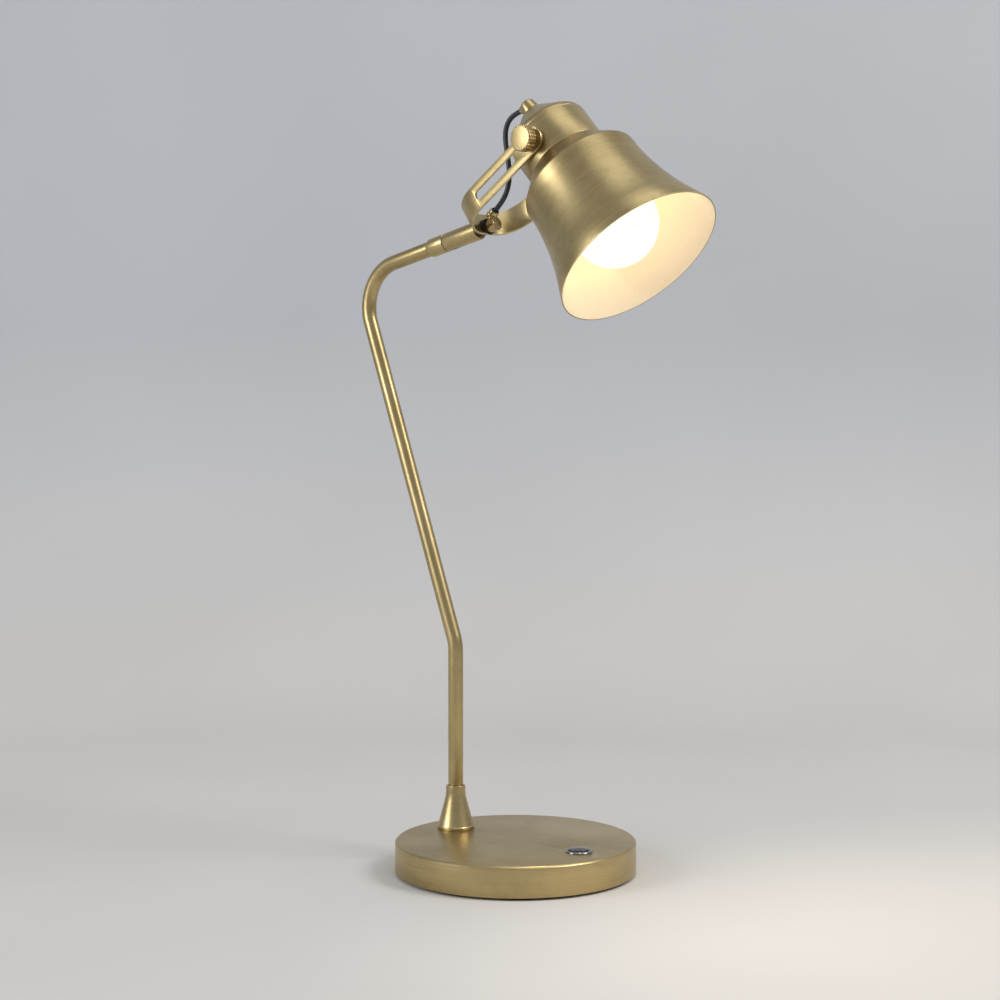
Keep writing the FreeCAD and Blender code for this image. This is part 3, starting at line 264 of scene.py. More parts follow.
def localPlace(tree, place):
    # the piece's own coordinates in metres, centred and turned by a Mapping node
    mapping = tree.nodes.new("ShaderNodeMapping")
    mapping.vector_type = "TEXTURE"
    feed(tree, mapping.inputs["Vector"], ownPlace(tree))
    mapping.inputs["Location"].default_value = place.translation * unit
    mapping.inputs["Rotation"].default_value = place.to_euler()
    return mapping.outputs[0]


def grouped(tree, word, **values):
    node = tree.nodes.new("ShaderNodeGroup")
    node.node_tree = groups[word]
    for name, value in values.items():
        feed(tree, node.inputs[name], value)
    return node


def bumped(tree, shader, height, strength, distance):
    node = tree.nodes.new("ShaderNodeBump")
    node.inputs["Strength"].default_value = strength
    node.inputs["Distance"].default_value = distance
    feed(tree, node.inputs["Height"], height)
    feed(tree, shader.inputs["Normal"], node.outputs[0])


brassLook = {
    "dark": colour(162, 142, 97), "mid": colour(192, 171, 122), "light": colour(234, 217, 174),
    "rough": 0.37, "cloudSize": 24.0, "mottle": 0.25, "bump": 0.25, "bumpDepth": 0.00004}


def brassMaterial(name, place, grain="turned", fine=2600.0, spread=1.5, wearAndHighlight=0.8, **changes):
    look = {**brassLook, **changes}
    material, tree, shader = newMaterial(name)
    here = localPlace(tree, place)
    if grain == "turned":
        lines = grouped(tree, "turned", Place=here, Fine=fine, Around=spread).outputs[0]
    else:
        lines = grouped(tree, "long", Place=here, Fine=fine, Stretch=spread).outputs[0]
    clouds = grouped(tree, "patina", Place=here, Size=look["cloudSize"], Mottle=look["mottle"]).outputs[0]
    # bevels painted lighter, as rubbed brass and as a painted edge highlight
    wornAndHighlit = grouped(tree, "wearAndHighlight", Place=here, Amount=wearAndHighlight).outputs[0]
    metal = grouped(tree, "brass", Grain=lines, Clouds=clouds, Wear=wornAndHighlit, Dark=look["dark"], Mid=look["mid"],
                    Light=look["light"], Rough=look["rough"])
    shader.inputs["Metallic"].default_value = 1
    feed(tree, shader.inputs["Base Color"], metal.outputs["Color"])
    feed(tree, shader.inputs["Roughness"], metal.outputs["Roughness"])
    bumped(tree, shader, lines, look["bump"], look["bumpDepth"])
    return material


def plainMaterial(name, low, high, rough=0.5, metallic=0.0, scale=300.0, bump=0.2, depth=0.00005, coat=0.0):
    # moulded, cast or plated stuff: two near tones in a fine mottle, with uneven gloss and a light bump
    material, tree, shader = newMaterial(name)
    here = ownPlace(tree)
    mottle = noise(tree, here, scale, 4, 0.6)
    feed(tree, shader.inputs["Base Color"], mixed(tree, ranged(tree, mottle, 0.3, 0.7), low, high))
    sheen = noise(tree, here, scale * 0.2, 2)
    feed(tree, shader.inputs["Roughness"], ranged(tree, sheen, 0.3, 0.7, rough - 0.06, rough + 0.06))
    shader.inputs["Metallic"].default_value = metallic
    shader.inputs["Coat Weight"].default_value = coat
    bumped(tree, shader, mottle, bump, depth)
    return material


creamLook = {"low": colour(238, 222, 192), "high": colour(246, 232, 206), "rough": 0.5, "scale": 900.0, "bump": 0.15}
bulbLook = {"low": colour(250, 246, 238), "high": colour(255, 252, 246), "glowLow": colour(255, 238, 208),
            "glowHigh": colour(255, 248, 232), "strength": 0.75}


def bulbMaterial():
    material, tree, shader = newMaterial("opalGlass")
    here = ownPlace(tree)
    haze = ranged(tree, noise(tree, here, 60.0, 2), 0.3, 0.7)
    feed(tree, shader.inputs["Base Color"], mixed(tree, haze, bulbLook["low"], bulbLook["high"]))
    feed(tree, shader.inputs["Emission Color"], mixed(tree, haze, bulbLook["glowLow"], bulbLook["glowHigh"]))
    feed(tree, shader.inputs["Roughness"], ranged(tree, haze, 0, 1, 0.16, 0.22))
    shader.inputs["Emission Strength"].default_value = bulbLook["strength"]
    return material


materials = {
    "cream": plainMaterial("creamLacquer", creamLook["low"], creamLook["high"], creamLook["rough"],
                           scale=creamLook["scale"], bump=creamLook["bump"], depth=0.00003),
    "bulb": bulbMaterial(),
    "rubber": plainMaterial("blackRubber", colour(26, 26, 27), colour(36, 36, 38), 0.62, scale=1500.0, bump=0.35),
    "gloss": plainMaterial("glossBlack", colour(10, 10, 12), colour(16, 17, 20), 0.16, scale=500.0,
                           bump=0.04, coat=0.5),
    "fibre": plainMaterial("blackFibre", colour(22, 21, 20), colour(40, 38, 36), 0.55, scale=2200.0, bump=0.3),
    "chrome": plainMaterial("darkChrome", colour(150, 150, 152), colour(175, 175, 178), 0.14, 1.0, 700.0, 0.03),
    "steel": plainMaterial("zincSteel", colour(150, 151, 155), colour(188, 188, 190), 0.33, 1.0, 500.0, 0.15),
    "iron": plainMaterial("castIron", colour(52, 52, 54), colour(84, 84, 86), 0.7, 0.8, 420.0, 0.7, 0.0003),
    "holder": plainMaterial("holderPlastic", colour(214, 206, 190), colour(226, 219, 204), 0.42,
                            scale=1200.0, bump=0.12),
    "cap": plainMaterial("capAluminium", colour(170, 170, 172), colour(200, 200, 200), 0.3, 1.0, 600.0, 0.12),
}
print("materials made")


def picked(parts, kind):
    return [part for part in parts if isinstance(part, kind)]


def cornersOf(edges):
    return list(dict.fromkeys(vertex for edge in edges for vertex in edge.verts))


def extruded(bm, edges, vector=(0, 0, 0)):
    # edges pulled out by the vector: gives the far ones
    made = bmesh.ops.extrude_edge_only(bm, edges=edges)["geom"]
    fresh = picked(made, bmesh.types.BMVert)
    bmesh.ops.translate(bm, verts=fresh, vec=vector)
    return [edge for edge in picked(made, bmesh.types.BMEdge) if all(vertex in fresh for vertex in edge.verts)]


def swept(bm, edges, centre, axis, angle, steps):
    # edges carried round an arc: gives the last of them
    made = bmesh.ops.spin(bm, geom=edges + cornersOf(edges), cent=centre, axis=axis, angle=angle, steps=steps)
    return picked(made["geom_last"], bmesh.types.BMEdge)


def bareMesh(name, bm):
    mesh = bpy.data.meshes.new(name)
    bm.to_mesh(mesh)
    bm.free()
    return mesh


def smoothMesh(name, bm, sharp=None):
    mesh = bareMesh(name, bm)
    for face in mesh.polygons:
        face.use_smooth = True
    if sharp is not None:
        mesh.set_sharp_from_angle(angle=math.radians(sharp))
    return mesh


arcSteps = {"least": 3, "degrees": 7, "chord": 4}


def extendProfile(bm, tip, corner):
    # one line to (across, up), or one arc of a signed radius as a third number; positive bends left
    goal = Vector((corner[0], 0, corner[1]))
    if len(corner) == 2:
        new = bmesh.ops.extrude_vert_indiv(bm, verts=[tip])["verts"][0]
        bmesh.ops.translate(bm, verts=[new], vec=goal - tip.co)
        return new
    radius, chord = corner[2], goal - tip.co
    sign = 1 if radius > 0 else -1
    inward = Vector((-chord.z, 0, chord.x)).normalized() * sign
    centre = (tip.co + goal) / 2 + inward * math.sqrt(max(0, radius ** 2 - chord.length ** 2 / 4))
    turn = 2 * math.asin(min(1, chord.length / 2 / abs(radius)))
    steps = max(arcSteps["least"], math.ceil(math.degrees(turn) / arcSteps["degrees"]),
                math.ceil(turn * abs(radius) / arcSteps["chord"]))
    made = bmesh.ops.spin(bm, geom=[tip], cent=centre, axis=(0, -sign, 0), angle=turn, steps=steps)
    new = picked(made["geom_last"], bmesh.types.BMVert)[0]
    bmesh.ops.translate(bm, verts=[new], vec=goal - new.co)
    return new


def drawProfile(bm, corners, closed=True):
    first = tip = bm.verts.new((corners[0][0], 0, corners[0][1]))
    for corner in corners[1:]:
        tip = extendProfile(bm, tip, corner)
    onAxis = abs(first.co.x) < 1e-6 and abs(tip.co.x) < 1e-6
    if closed and not onAxis:
        if (first.co - tip.co).length < weld["plane"]:
            bmesh.ops.remove_doubles(bm, verts=[first, tip], dist=weld["cut"])
        else:
            bm.edges.new((tip, first))


def lathe(corners, steps=96, into=None):
    # a closed half section spun right round local Z
    bm = bmesh.new()
    drawProfile(bm, corners)
    bmesh.ops.spin(bm, geom=bm.verts[:] + bm.edges[:], cent=(0, 0, 0), axis=(0, 0, 1), angle=math.tau,
                   steps=steps, use_merge=True)
    bmesh.ops.remove_doubles(bm, verts=bm.verts, dist=weld["spun"])
    bmesh.ops.recalc_face_normals(bm, faces=bm.faces)
    return bm if into is None else joined(into, bm)


def joined(bm, other, turn=None):
    # other's mesh added to bm, turned first where asked
    if turn is not None:
        bmesh.ops.transform(other, matrix=turn, verts=other.verts)
    carrier = bareMesh("carrier", other)
    bm.from_mesh(carrier)
    bpy.data.meshes.remove(carrier)
    return bm


def bar(radius, low, high, turn=None, steps=32, into=None):
    # a round bar along local Z, from low to high
    bm = bmesh.new()
    bmesh.ops.create_cone(bm, cap_ends=True, cap_tris=False, segments=steps, radius1=radius, radius2=radius,
                          depth=high - low, matrix=Matrix.Translation((0, 0, (low + high) / 2)))
    if turn is not None:
        bmesh.ops.transform(bm, matrix=turn, verts=bm.verts)
    return bm if into is None else joined(into, bm)


def bevelSharp(bm, width, angle=30):
    layer = bm.faces.layers.float.get("edge") or bm.faces.layers.float.new("edge")
    sharp = [edge for edge in bm.edges
             if len(edge.link_faces) == 2 and edge.calc_face_angle(0) > math.radians(angle)]
    made = bmesh.ops.bevel(bm, geom=sharp, offset=width, offset_type="OFFSET", segments=2, profile=0.5,
                           affect="EDGES", clamp_overlap=True, material=-1)
    for face in made["faces"]:
        face[layer] = 1


def cutAway(bm, tools):
    # bars taken out of a closed shape with a Boolean, applied at once
    solid, cutter = bareMesh("solid", bm), bareMesh("cutter", tools)
    body, tool = linked("solid", solid), linked("cutter", cutter)
    cut = body.modifiers.new("cut", "BOOLEAN")
    cut.operation, cut.solver, cut.object = "DIFFERENCE", "EXACT", tool
    graph = bpy.context.evaluated_depsgraph_get()
    result = bpy.data.meshes.new_from_object(body.evaluated_get(graph))
    bpy.data.objects.remove(body)
    bpy.data.objects.remove(tool)
    bpy.data.meshes.remove(solid)
    bpy.data.meshes.remove(cutter)
    out = bmesh.new()
    out.from_mesh(result)
    bpy.data.meshes.remove(result)
    bmesh.ops.remove_doubles(out, verts=out.verts, dist=weld["cut"])
    return out


sharpFrom = {"piece": 27, "lead": 50}


def finishPiece(name, bm, place, body, finish, nodes, edge=0.25):
    # bevel, place, shade and hand the piece to its body
    if edge:
        bevelSharp(bm, edge)
    bmesh.ops.transform(bm, matrix=Matrix.Scale(unit, 4) @ place, verts=bm.verts)
    mesh = smoothMesh(name, bm, sharpFrom["piece"])
    for material in (finish if isinstance(finish, list) else [finish]):
        mesh.materials.append(material)
    piece = linked(name, mesh)
    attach(piece, body)
    if nodes:
        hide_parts(*nodes)
    return piece


# the lead runs on a smooth spline through the route's control points
lead = {
    "diameter": 3.6, "sides": 20, "length": 79.1,
    "route": [(-18.77, 466.17), (-14.0, 470.3), (-9.8, 475.4), (-6.9, 481.9), (-5.8, 489.6), (-6.7, 497.8),
              (-8.3, 505.9), (-9.7, 513.7), (-9.6, 520.8), (-6.9, 526.9), (-1.3, 530.9), (5.32, 532.77)]}


def leadLine(route):
    # the spline's own points, read from a curve with no bevel
    curve = bpy.data.curves.new("leadLine", "CURVE")
    curve.dimensions, curve.resolution_u = "3D", 10
    spline = curve.splines.new("NURBS")
    spline.points.add(len(route) - 1)
    for point, (across, up) in zip(spline.points, route):
        point.co = (across * unit, 0, up * unit, 1)
    spline.order_u = 3
    spline.use_endpoint_u = True
    carrier = linked("leadLine", curve)
    line = bpy.data.meshes.new_from_object(carrier.evaluated_get(bpy.context.evaluated_depsgraph_get()))
    points = [vertex.co.copy() for vertex in line.vertices]
    bpy.data.objects.remove(carrier)
    bpy.data.curves.remove(curve)
    bpy.data.meshes.remove(line)
    return points


def makeLead():
    points = leadLine(lead["route"])
    ways = [points[1] - points[0]]
    ways += [after - before for before, after in zip(points, points[2:])]
    ways += [points[-1] - points[-2]]
    slopes = [math.atan2(way.z, way.x) for way in ways]
    bm = bmesh.new()
    radius = lead["diameter"] * unit / 2
    start = Matrix.Translation(points[0]) @ Matrix.Rotation(math.pi / 2 - slopes[0], 4, "Y")
    bmesh.ops.create_circle(bm, cap_ends=False, segments=lead["sides"], radius=radius, matrix=start)
    edges = bm.edges[:]
    bmesh.ops.holes_fill(bm, edges=edges, sides=0)
    for here, there, slope, nextSlope in zip(points, points[1:], slopes, slopes[1:]):
        edges = extruded(bm, edges)
        ring = cornersOf(edges)
        bmesh.ops.rotate(bm, verts=ring, cent=here, matrix=Matrix.Rotation(slope - nextSlope, 3, "Y"))
        bmesh.ops.translate(bm, verts=ring, vec=there - here)
    bmesh.ops.holes_fill(bm, edges=edges, sides=0)
    bmesh.ops.recalc_face_normals(bm, faces=bm.faces)
    mesh = smoothMesh("headLead", bm, sharpFrom["lead"])
    mesh.materials.append(plainMaterial("leadSheath", colour(26, 28, 31), colour(38, 41, 45), 0.38,
                                        scale=1100.0, bump=0.12))
    piece = linked("headLead", mesh)
    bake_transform(piece)
    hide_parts("head_lead")


makeLead()
print("lead made")

base = {
    "radius": 85, "height": 23, "wall": 2, "lift": 1.8, "chamfer": 1.1, "padRadius": 81, "pad": 2, "edge": 0.3,
    "stemHole": 5.5, "switchHole": 8.0, "inletHole": 4.0, "inletHeight": 8.5, "sides": 256, "padSides": 160,
    "drillPast": 4, "drillIn": 6}


def makeBase():
    r, top, wall = base["radius"], base["height"], base["wall"]
    cover = lathe([
        (r, base["lift"]), (r, top - base["chamfer"]), (r - base["chamfer"], top), (0, top), (0, top - wall),
        (r - wall, top - wall), (r - wall, base["lift"])], base["sides"])
    past = base["drillPast"]
    tools = bar(base["stemHole"], top - past, top + past, Matrix.Translation((places["foot"].x, 0, 0)), steps=64)
    bar(base["switchHole"], top - past, top + past, Matrix.Translation((places["switch"].x, 0, 0)),
        steps=64, into=tools)
    inletWay = axisFrame((0, 0, base["inletHeight"]), (-1, 0, 0))
    bar(base["inletHole"], r - base["drillIn"], r + past, inletWay, steps=48, into=tools)
    cover = cutAway(cover, tools)
    finishPiece("baseCover", cover, upright, "stand",
                brassMaterial("baseBrass", upright, fine=2100.0, spread=2.2, bump=0.5, cloudSize=16.0),
                ["base_cover"], base["edge"])
    pad = lathe([(0, 0), (base["padRadius"], 0), (base["padRadius"], base["pad"]), (0, base["pad"])], base["padSides"])
    finishPiece("basePad", pad, upright, "stand", materials["rubber"], ["base_pad"], base["edge"])


inlet = {"bore": 2.7, "flange": 4.8, "neck": 3.9, "flangeThick": 1.2, "gap": 0.3, "proud": 0.1, "lip": 1.3,
         "chamfer": 0.5, "edge": 0.25}


def makeInlet():
    inner = -base["wall"] - inlet["gap"]
    bush = lathe([
        (inlet["bore"], inner - inlet["flangeThick"]), (inlet["flange"], inner - inlet["flangeThick"]),
        (inlet["flange"], inner), (inlet["neck"], inner), (inlet["neck"], inlet["proud"]),
        (inlet["flange"], inlet["proud"]), (inlet["flange"] - inlet["chamfer"], inlet["lip"]),
        (inlet["bore"], inlet["lip"])], steps=64)
    place = axisFrame((-base["radius"], 0, base["inletHeight"]), (-1, 0, 0))
    finishPiece("mainsBush", bush, place, "stand", materials["rubber"], ["mains_bush"], inlet["edge"])


makeBase()
makeInlet()
print("base made")

foot = {"bore": 5.5, "radius": 13.3, "ledge": 0.4, "lip": 2.4, "coneTop": 7.8, "coneHeight": 21.5, "hollow": 22.8,
        "collar": 7.0, "collarStart": 27.5, "height": 31.3, "rootChamfer": 0.2, "topChamfer": 0.3, "edge": 0.2}
stem = {
    "radius": 5.4, "low": 7.1, "bendHeight": 157.1, "lean": 20.3, "reach": 286.3, "lowerBend": 31,
    "upperBend": 33, "rise": 12.5, "end": 89.15, "sides": 48, "lowerSteps": 10, "upperSteps": 32, "edge": 0.3}


def makeFoot():
    f, root, tip = foot, foot["rootChamfer"], foot["topChamfer"]
    bm = lathe([
        (f["bore"], 0), (f["radius"] - root, 0), (f["radius"], root), (f["radius"], f["lip"] - f["ledge"]),
        (f["radius"] - f["ledge"], f["lip"]), (f["coneTop"], f["coneHeight"]),
        (f["collar"], f["collarStart"], -f["hollow"]), (f["collar"], f["height"] - tip),
        (f["collar"] - tip, f["height"]), (f["bore"], f["height"])], steps=96)
    finishPiece("stemFoot", bm, inFoot, "stand", brassMaterial("footBrass", inFoot, fine=2400.0),
                ["stem_foot"], foot["edge"])


def makeStem():
    # a ring at the bottom, pulled up, round the low bend, up the lean, round the crook and out along the arm
    lean, rise = math.radians(stem["lean"]), math.radians(stem["rise"])
    up, leaning, along = Vector((0, 0, 1)), Vector((-math.sin(lean), 0, math.cos(lean))), places["armAxis"]
    corner = Vector((places["foot"].x, 0, stem["bendHeight"]))
    crook = corner + leaning * stem["reach"]
    lowRun = stem["lowerBend"] * math.tan(lean / 2)
    crookTurn = math.pi / 2 + lean - rise
    highRun = stem["upperBend"] * math.tan(crookTurn / 2)
    bm = bmesh.new()
    bmesh.ops.create_circle(bm, cap_ends=False, segments=stem["sides"], radius=stem["radius"],
                            matrix=Matrix.Translation((corner.x, 0, stem["low"])))
    first = bm.edges[:]
    edges = extruded(bm, first, up * (stem["bendHeight"] - lowRun - stem["low"]))
    centre = Vector((corner.x - stem["lowerBend"], 0, stem["bendHeight"] - lowRun))
    edges = swept(bm, edges, centre, (0, -1, 0), lean, stem["lowerSteps"])
    edges = extruded(bm, edges, leaning * (stem["reach"] - lowRun - highRun))
    centre = crook - leaning * highRun + Vector((math.cos(lean), 0, math.sin(lean))) * stem["upperBend"]
    edges = swept(bm, edges, centre, (0, 1, 0), crookTurn, stem["upperSteps"])
    edges = extruded(bm, edges, along * (stem["end"] - highRun))
    bmesh.ops.holes_fill(bm, edges=first + edges, sides=0)
    bmesh.ops.remove_doubles(bm, verts=bm.verts, dist=weld["spun"])
    bmesh.ops.recalc_face_normals(bm, faces=bm.faces)
    leanFrame = axisFrame(corner, leaning) @ Matrix.Rotation(math.pi / 2, 4, "Y")
    finishPiece("stemTube", bm, upright, "stand",
                brassMaterial("stemBrass", leanFrame, "long", 1500.0, 0.02), ["stem_tube"], stem["edge"])


makeFoot()
makeStem()
print("foot and stem made")

switch = {"bezel": 9.5, "bezelHeight": 1.3, "housing": 7.9, "wall": 0.6, "depth": 16, "cavity": 8, "rise": 2.8,
          "crown": 32, "gap": 0.1, "travel": 1.8, "stopRoom": 0.3, "rimFoot": 0.55, "rimRound": 0.8, "rimArc": 1.2,
          "crownEdge": 0.5, "crownRise": 0.03, "bezelEdge": 0.12, "edge": 0.15}


def makeSwitch():
    s = switch
    bezel = lathe([
        (s["housing"] + s["gap"], 0), (s["bezel"], 0), (s["bezel"], s["rimFoot"]),
        (s["bezel"] - s["rimRound"], s["bezelHeight"], s["rimArc"]),
        (s["housing"] + s["gap"], s["bezelHeight"])], steps=72)
    finishPiece("switchBezel", bezel, inSwitch, "stand", materials["chrome"], ["switch_bezel"],
                s["bezelEdge"])
    inner = s["housing"] - s["wall"]
    housing = lathe([(0, -s["depth"]), (s["housing"], -s["depth"]), (s["housing"], s["bezelHeight"]),
                     (inner, s["bezelHeight"]), (inner, -s["cavity"]), (0, -s["cavity"])], steps=72)
    finishPiece("switchHousing", housing, inSwitch, "stand", materials["gloss"],
                ["switch_housing"], s["edge"])
    side = inner - s["gap"]
    shoulder = s["rise"] - (s["crown"] - math.sqrt(s["crown"] ** 2 - side ** 2))
    low = -s["cavity"] + s["travel"] + s["stopRoom"]
    button = lathe([
        (0, low), (side, low), (side, shoulder - s["crownEdge"]),
        (side - s["crownEdge"], shoulder + s["crownRise"], s["crownEdge"]), (0, s["rise"], s["crown"])], steps=72)
    finishPiece("switchButton", button, inSwitch, "button", materials["gloss"],
                ["switch_button"], s["edge"])


makeSwitch()
print("switch made")

sleeve = {"radius": 6.7, "taper": 2, "coupling": 16.9, "stemSeat": 5.5, "pin": 4.2, "pinLength": 15, "start": 0.5,
          "pinBore": 2.5, "stemStop": -4.4, "play": 0.05, "pinRoom": 16, "nippleSeat": 23.55, "barrelEnd": 32.55,
          "chamfer": 0.4, "screwSpot": 8.6, "screwHole": 2.1, "edge": 0.2}
stopScrew = {"low": 3.4, "point": 1.1, "pointTop": 4.35, "body": 2.0, "top": 6.3, "socket": 1.05, "socketLow": 5.3,
             "sides": 48, "edge": 0.12}
wedge = {"outer": 4.9, "inner": 5.9, "nipple": 3.1, "strip": 37.35, "stripThick": 1.8, "bevel": 22.5, "outlet": 41.95,
         "outerPast": 45, "innerPast": 30, "edge": 0.2}


def makeSleeve():
    s = sleeve
    coupling = lathe([
        (s["stemSeat"], -s["coupling"]), (s["radius"], -s["coupling"] + s["taper"]), (s["radius"], 0), (s["pin"], 0),
        (s["pin"], s["pinLength"]), (s["pinBore"], s["pinLength"]), (s["pinBore"], s["stemStop"]),
        (s["stemSeat"], s["stemStop"])], steps=72)
    finishPiece("swivelCoupling", coupling, inArm, "stand", brassMaterial("sleeveBrass", inArm, fine=2400.0),
                ["swivel_coupling"], s["edge"])
    way = s["pin"] + s["play"]
    barrel = lathe([
        (way, s["start"]), (s["radius"] - s["chamfer"], s["start"]), (s["radius"], s["start"] + s["chamfer"]),
        (s["radius"], s["barrelEnd"] - s["chamfer"]), (s["radius"] - s["chamfer"], s["barrelEnd"]),
        (wedge["nipple"], s["barrelEnd"]), (wedge["nipple"], s["nippleSeat"]), (s["pinBore"], s["nippleSeat"]),
        (s["pinBore"], s["pinRoom"]), (way, s["pinRoom"])], steps=72)
    screwWay = axisFrame((0, 0, s["screwSpot"]), (1, 0, 0))
    barrel = cutAway(barrel, bar(s["screwHole"], 0, 10, screwWay, steps=40))
    finishPiece("swivelBarrel", barrel, inArm, "yoke_arm", brassMaterial("barrelBrass", inArm, fine=2400.0),
                ["swivel_barrel"], s["edge"])
    t = stopScrew
    screw = lathe([
        (0, t["low"]), (t["point"], t["low"]), (t["point"], t["pointTop"]), (t["body"], t["pointTop"]),
        (t["body"], t["top"]), (t["socket"], t["top"]), (t["socket"], t["socketLow"]), (0, t["socketLow"])], t["sides"])
    finishPiece("stopScrew", screw, inArm @ screwWay, "yoke_arm", materials["steel"], ["stop_screw"],
                t["edge"])


def makeWedges():
    # each a round bar cut off along the strip's slanting face
    slant = math.radians(wedge["bevel"])
    way = Vector((-math.sin(slant), 0, math.cos(slant)))
    for name, node, radius, low, high, cut, sign in (
            ("outerWedge", "outer_wedge", wedge["outer"], sleeve["barrelEnd"], wedge["outerPast"], wedge["strip"], 1),
            ("innerWedge", "inner_wedge", wedge["inner"], wedge["innerPast"], wedge["outlet"],
             wedge["strip"] + wedge["stripThick"] / math.cos(slant), -1)):
        bm = bar(radius, low, high, steps=64)
        bmesh.ops.bisect_plane(bm, geom=bm.verts[:] + bm.edges[:] + bm.faces[:], dist=weld["plane"],
                               plane_co=(0, 0, cut), plane_no=way * sign, clear_outer=True)
        bmesh.ops.holes_fill(bm, edges=[edge for edge in bm.edges if edge.is_boundary], sides=0)
        bmesh.ops.recalc_face_normals(bm, faces=bm.faces)
        # the wedges are black fibre; their black also stands for the shade in the gaps between the sleeve's end, the
        # strip and the outlet, as painted shade
        finishPiece(name, bm, inArm, "yoke_arm", materials["fibre"], [node], wedge["edge"])


yoke = {"length": 88.6, "halfSpan": 31.5, "thick": 1.8, "halfWidth": 8.8, "corner": 26.4, "slotNear": 18.5,
        "slotFar": 61.5, "slot": 3.2, "hole": 2.6, "holeSides": 32, "bendSteps": 20, "edge": 0.28}


def makeYoke():
    # one arm as a flat plate with its slot and hole, then round the bend and half across the back, then mirrored
    y, half = yoke, yoke["halfWidth"]
    bendX = -y["length"] + y["corner"]
    bm = bmesh.new()
    drawProfile(bm, [(bendX, -half), (0, -half), (half, 0, half), (0, half, half), (bendX, half)])
    near, far, slot = -y["slotNear"] - y["slot"], -y["slotFar"] + y["slot"], y["slot"]
    drawProfile(bm, [(far, -slot), (near, -slot), (near + slot, 0, slot), (near, slot, slot), (far, slot),
                     (far - slot, 0, slot), (far, -slot, slot)])
    bmesh.ops.create_circle(bm, cap_ends=False, segments=y["holeSides"], radius=y["hole"],
                            matrix=Matrix.Rotation(math.pi / 2, 4, "X"))
    bmesh.ops.triangle_fill(bm, edges=bm.edges[:], use_beauty=True, use_dissolve=False)
    made = bmesh.ops.extrude_face_region(bm, geom=bm.faces[:], use_keep_orig=True)
    fresh = picked(made["geom"], bmesh.types.BMVert)
    bmesh.ops.translate(bm, verts=fresh, vec=(0, y["thick"], 0))
    bmesh.ops.translate(bm, verts=bm.verts, vec=(0, y["halfSpan"] - y["thick"], 0))
    backFace = next(face for face in bm.faces
                    if all(abs(vertex.co.x - bendX) < weld["plane"] for vertex in face.verts))
    edges = list(backFace.edges)
    bmesh.ops.delete(bm, geom=[backFace], context="FACES_ONLY")
    centre = (bendX, y["halfSpan"] - y["corner"], 0)
    edges = swept(bm, edges, centre, (0, 0, 1), math.pi / 2, y["bendSteps"])
    extruded(bm, edges, (0, y["corner"] - y["halfSpan"], 0))
    bmesh.ops.mirror(bm, geom=bm.verts[:] + bm.edges[:] + bm.faces[:], merge_dist=weld["cut"], axis="Y")
    bmesh.ops.remove_doubles(bm, verts=bm.verts, dist=weld["cut"])
    bmesh.ops.recalc_face_normals(bm, faces=bm.faces)
    # the strip's bevelled edges take the full light tone: rubbed brass and a painted edge highlight
    finishPiece("yokeStrip", bm, inYoke, "yoke_arm",
                brassMaterial("yokeBrass", inYoke, "long", 2000.0, 0.03, wearAndHighlight=1.0), ["yoke"], y["edge"])


outlet = {"radius": 4.8, "length": 7.6, "riser": 3.8, "ball": 4.0, "rise": 6.7, "reach": 4.0, "snout": 3.5,
          "snoutLength": 4.4, "tilt": 32.5, "bush": 2.6, "bushStart": 1.4, "bushRoom": 0.1, "collar": 1.0,
          "bushEdge": 0.2, "edge": 0.25}


def makeOutlet():
    o = outlet
    low = wedge["outlet"]
    bm = bar(o["radius"], low, low + o["length"], steps=56)
    ballSpot = Vector((-o["rise"], 0, low + o["reach"]))
    bar(o["riser"], 0, o["rise"], axisFrame((0, 0, low + o["reach"]), (-1, 0, 0)), steps=48, into=bm)
    way = Vector((-math.sin(math.radians(o["tilt"])), 0, math.cos(math.radians(o["tilt"]))))
    bar(o["snout"], 0, o["snoutLength"], axisFrame(ballSpot, way), steps=48, into=bm)
    bevelSharp(bm, o["edge"])
    ball = bmesh.new()
    bmesh.ops.create_uvsphere(ball, u_segments=40, v_segments=24, radius=o["ball"],
                              matrix=Matrix.Translation(ballSpot))
    joined(bm, ball)
    finishPiece("leadOutlet", bm, inArm, "yoke_arm",
                brassMaterial("outletBrass", inArm, fine=2600.0, rough=0.3), ["lead_outlet"], 0)
    bore, end = lead["diameter"] / 2 + o["bushRoom"], o["snoutLength"] + o["collar"]
    bush = lathe([(bore, o["bushStart"]), (o["bush"], o["bushStart"]), (o["bush"], end), (bore, end)], steps=40)
    finishPiece("leadBush", bush, inArm @ axisFrame(ballSpot, way), "yoke_arm", materials["rubber"],
                ["lead_bush"], o["bushEdge"])


makeSleeve()
makeWedges()
makeYoke()
makeOutlet()
print("swivel, yoke and outlet made")

# heights in the shade run along its axis, from its rim
bell = {"rim": 60, "flare": 54.2, "flareHeight": 15.4, "hollow": 190, "side": 43.3, "sideHeight": 67.5,
        "shoulder": 76.9,
        "round": 3, "step": 0.9, "slip": 0.5, "seat": 29.7, "seatHeight": 90.5, "hole": 20, "wall": 1.2, "edge": 0.3,
        "sides": 224, "inward": -0.2, "downward": -0.35, "rimBand": 10}
neck = {"radius": 29.05, "length": 26, "wall": 1.6, "chamfer": 0.5, "boss": 7, "bossRoot": 26.4, "bossFace": 29.2,
        "pivotAcross": 3.5, "pivotHeight": 104.8, "stud": 2.6, "edge": 0.2}
cap = {"length": 22.5, "lift": 3, "end": 8.5, "wall": 1.5, "spigot": 3.2, "seat": 0.1, "bore": 3.6, "edge": 0.2}


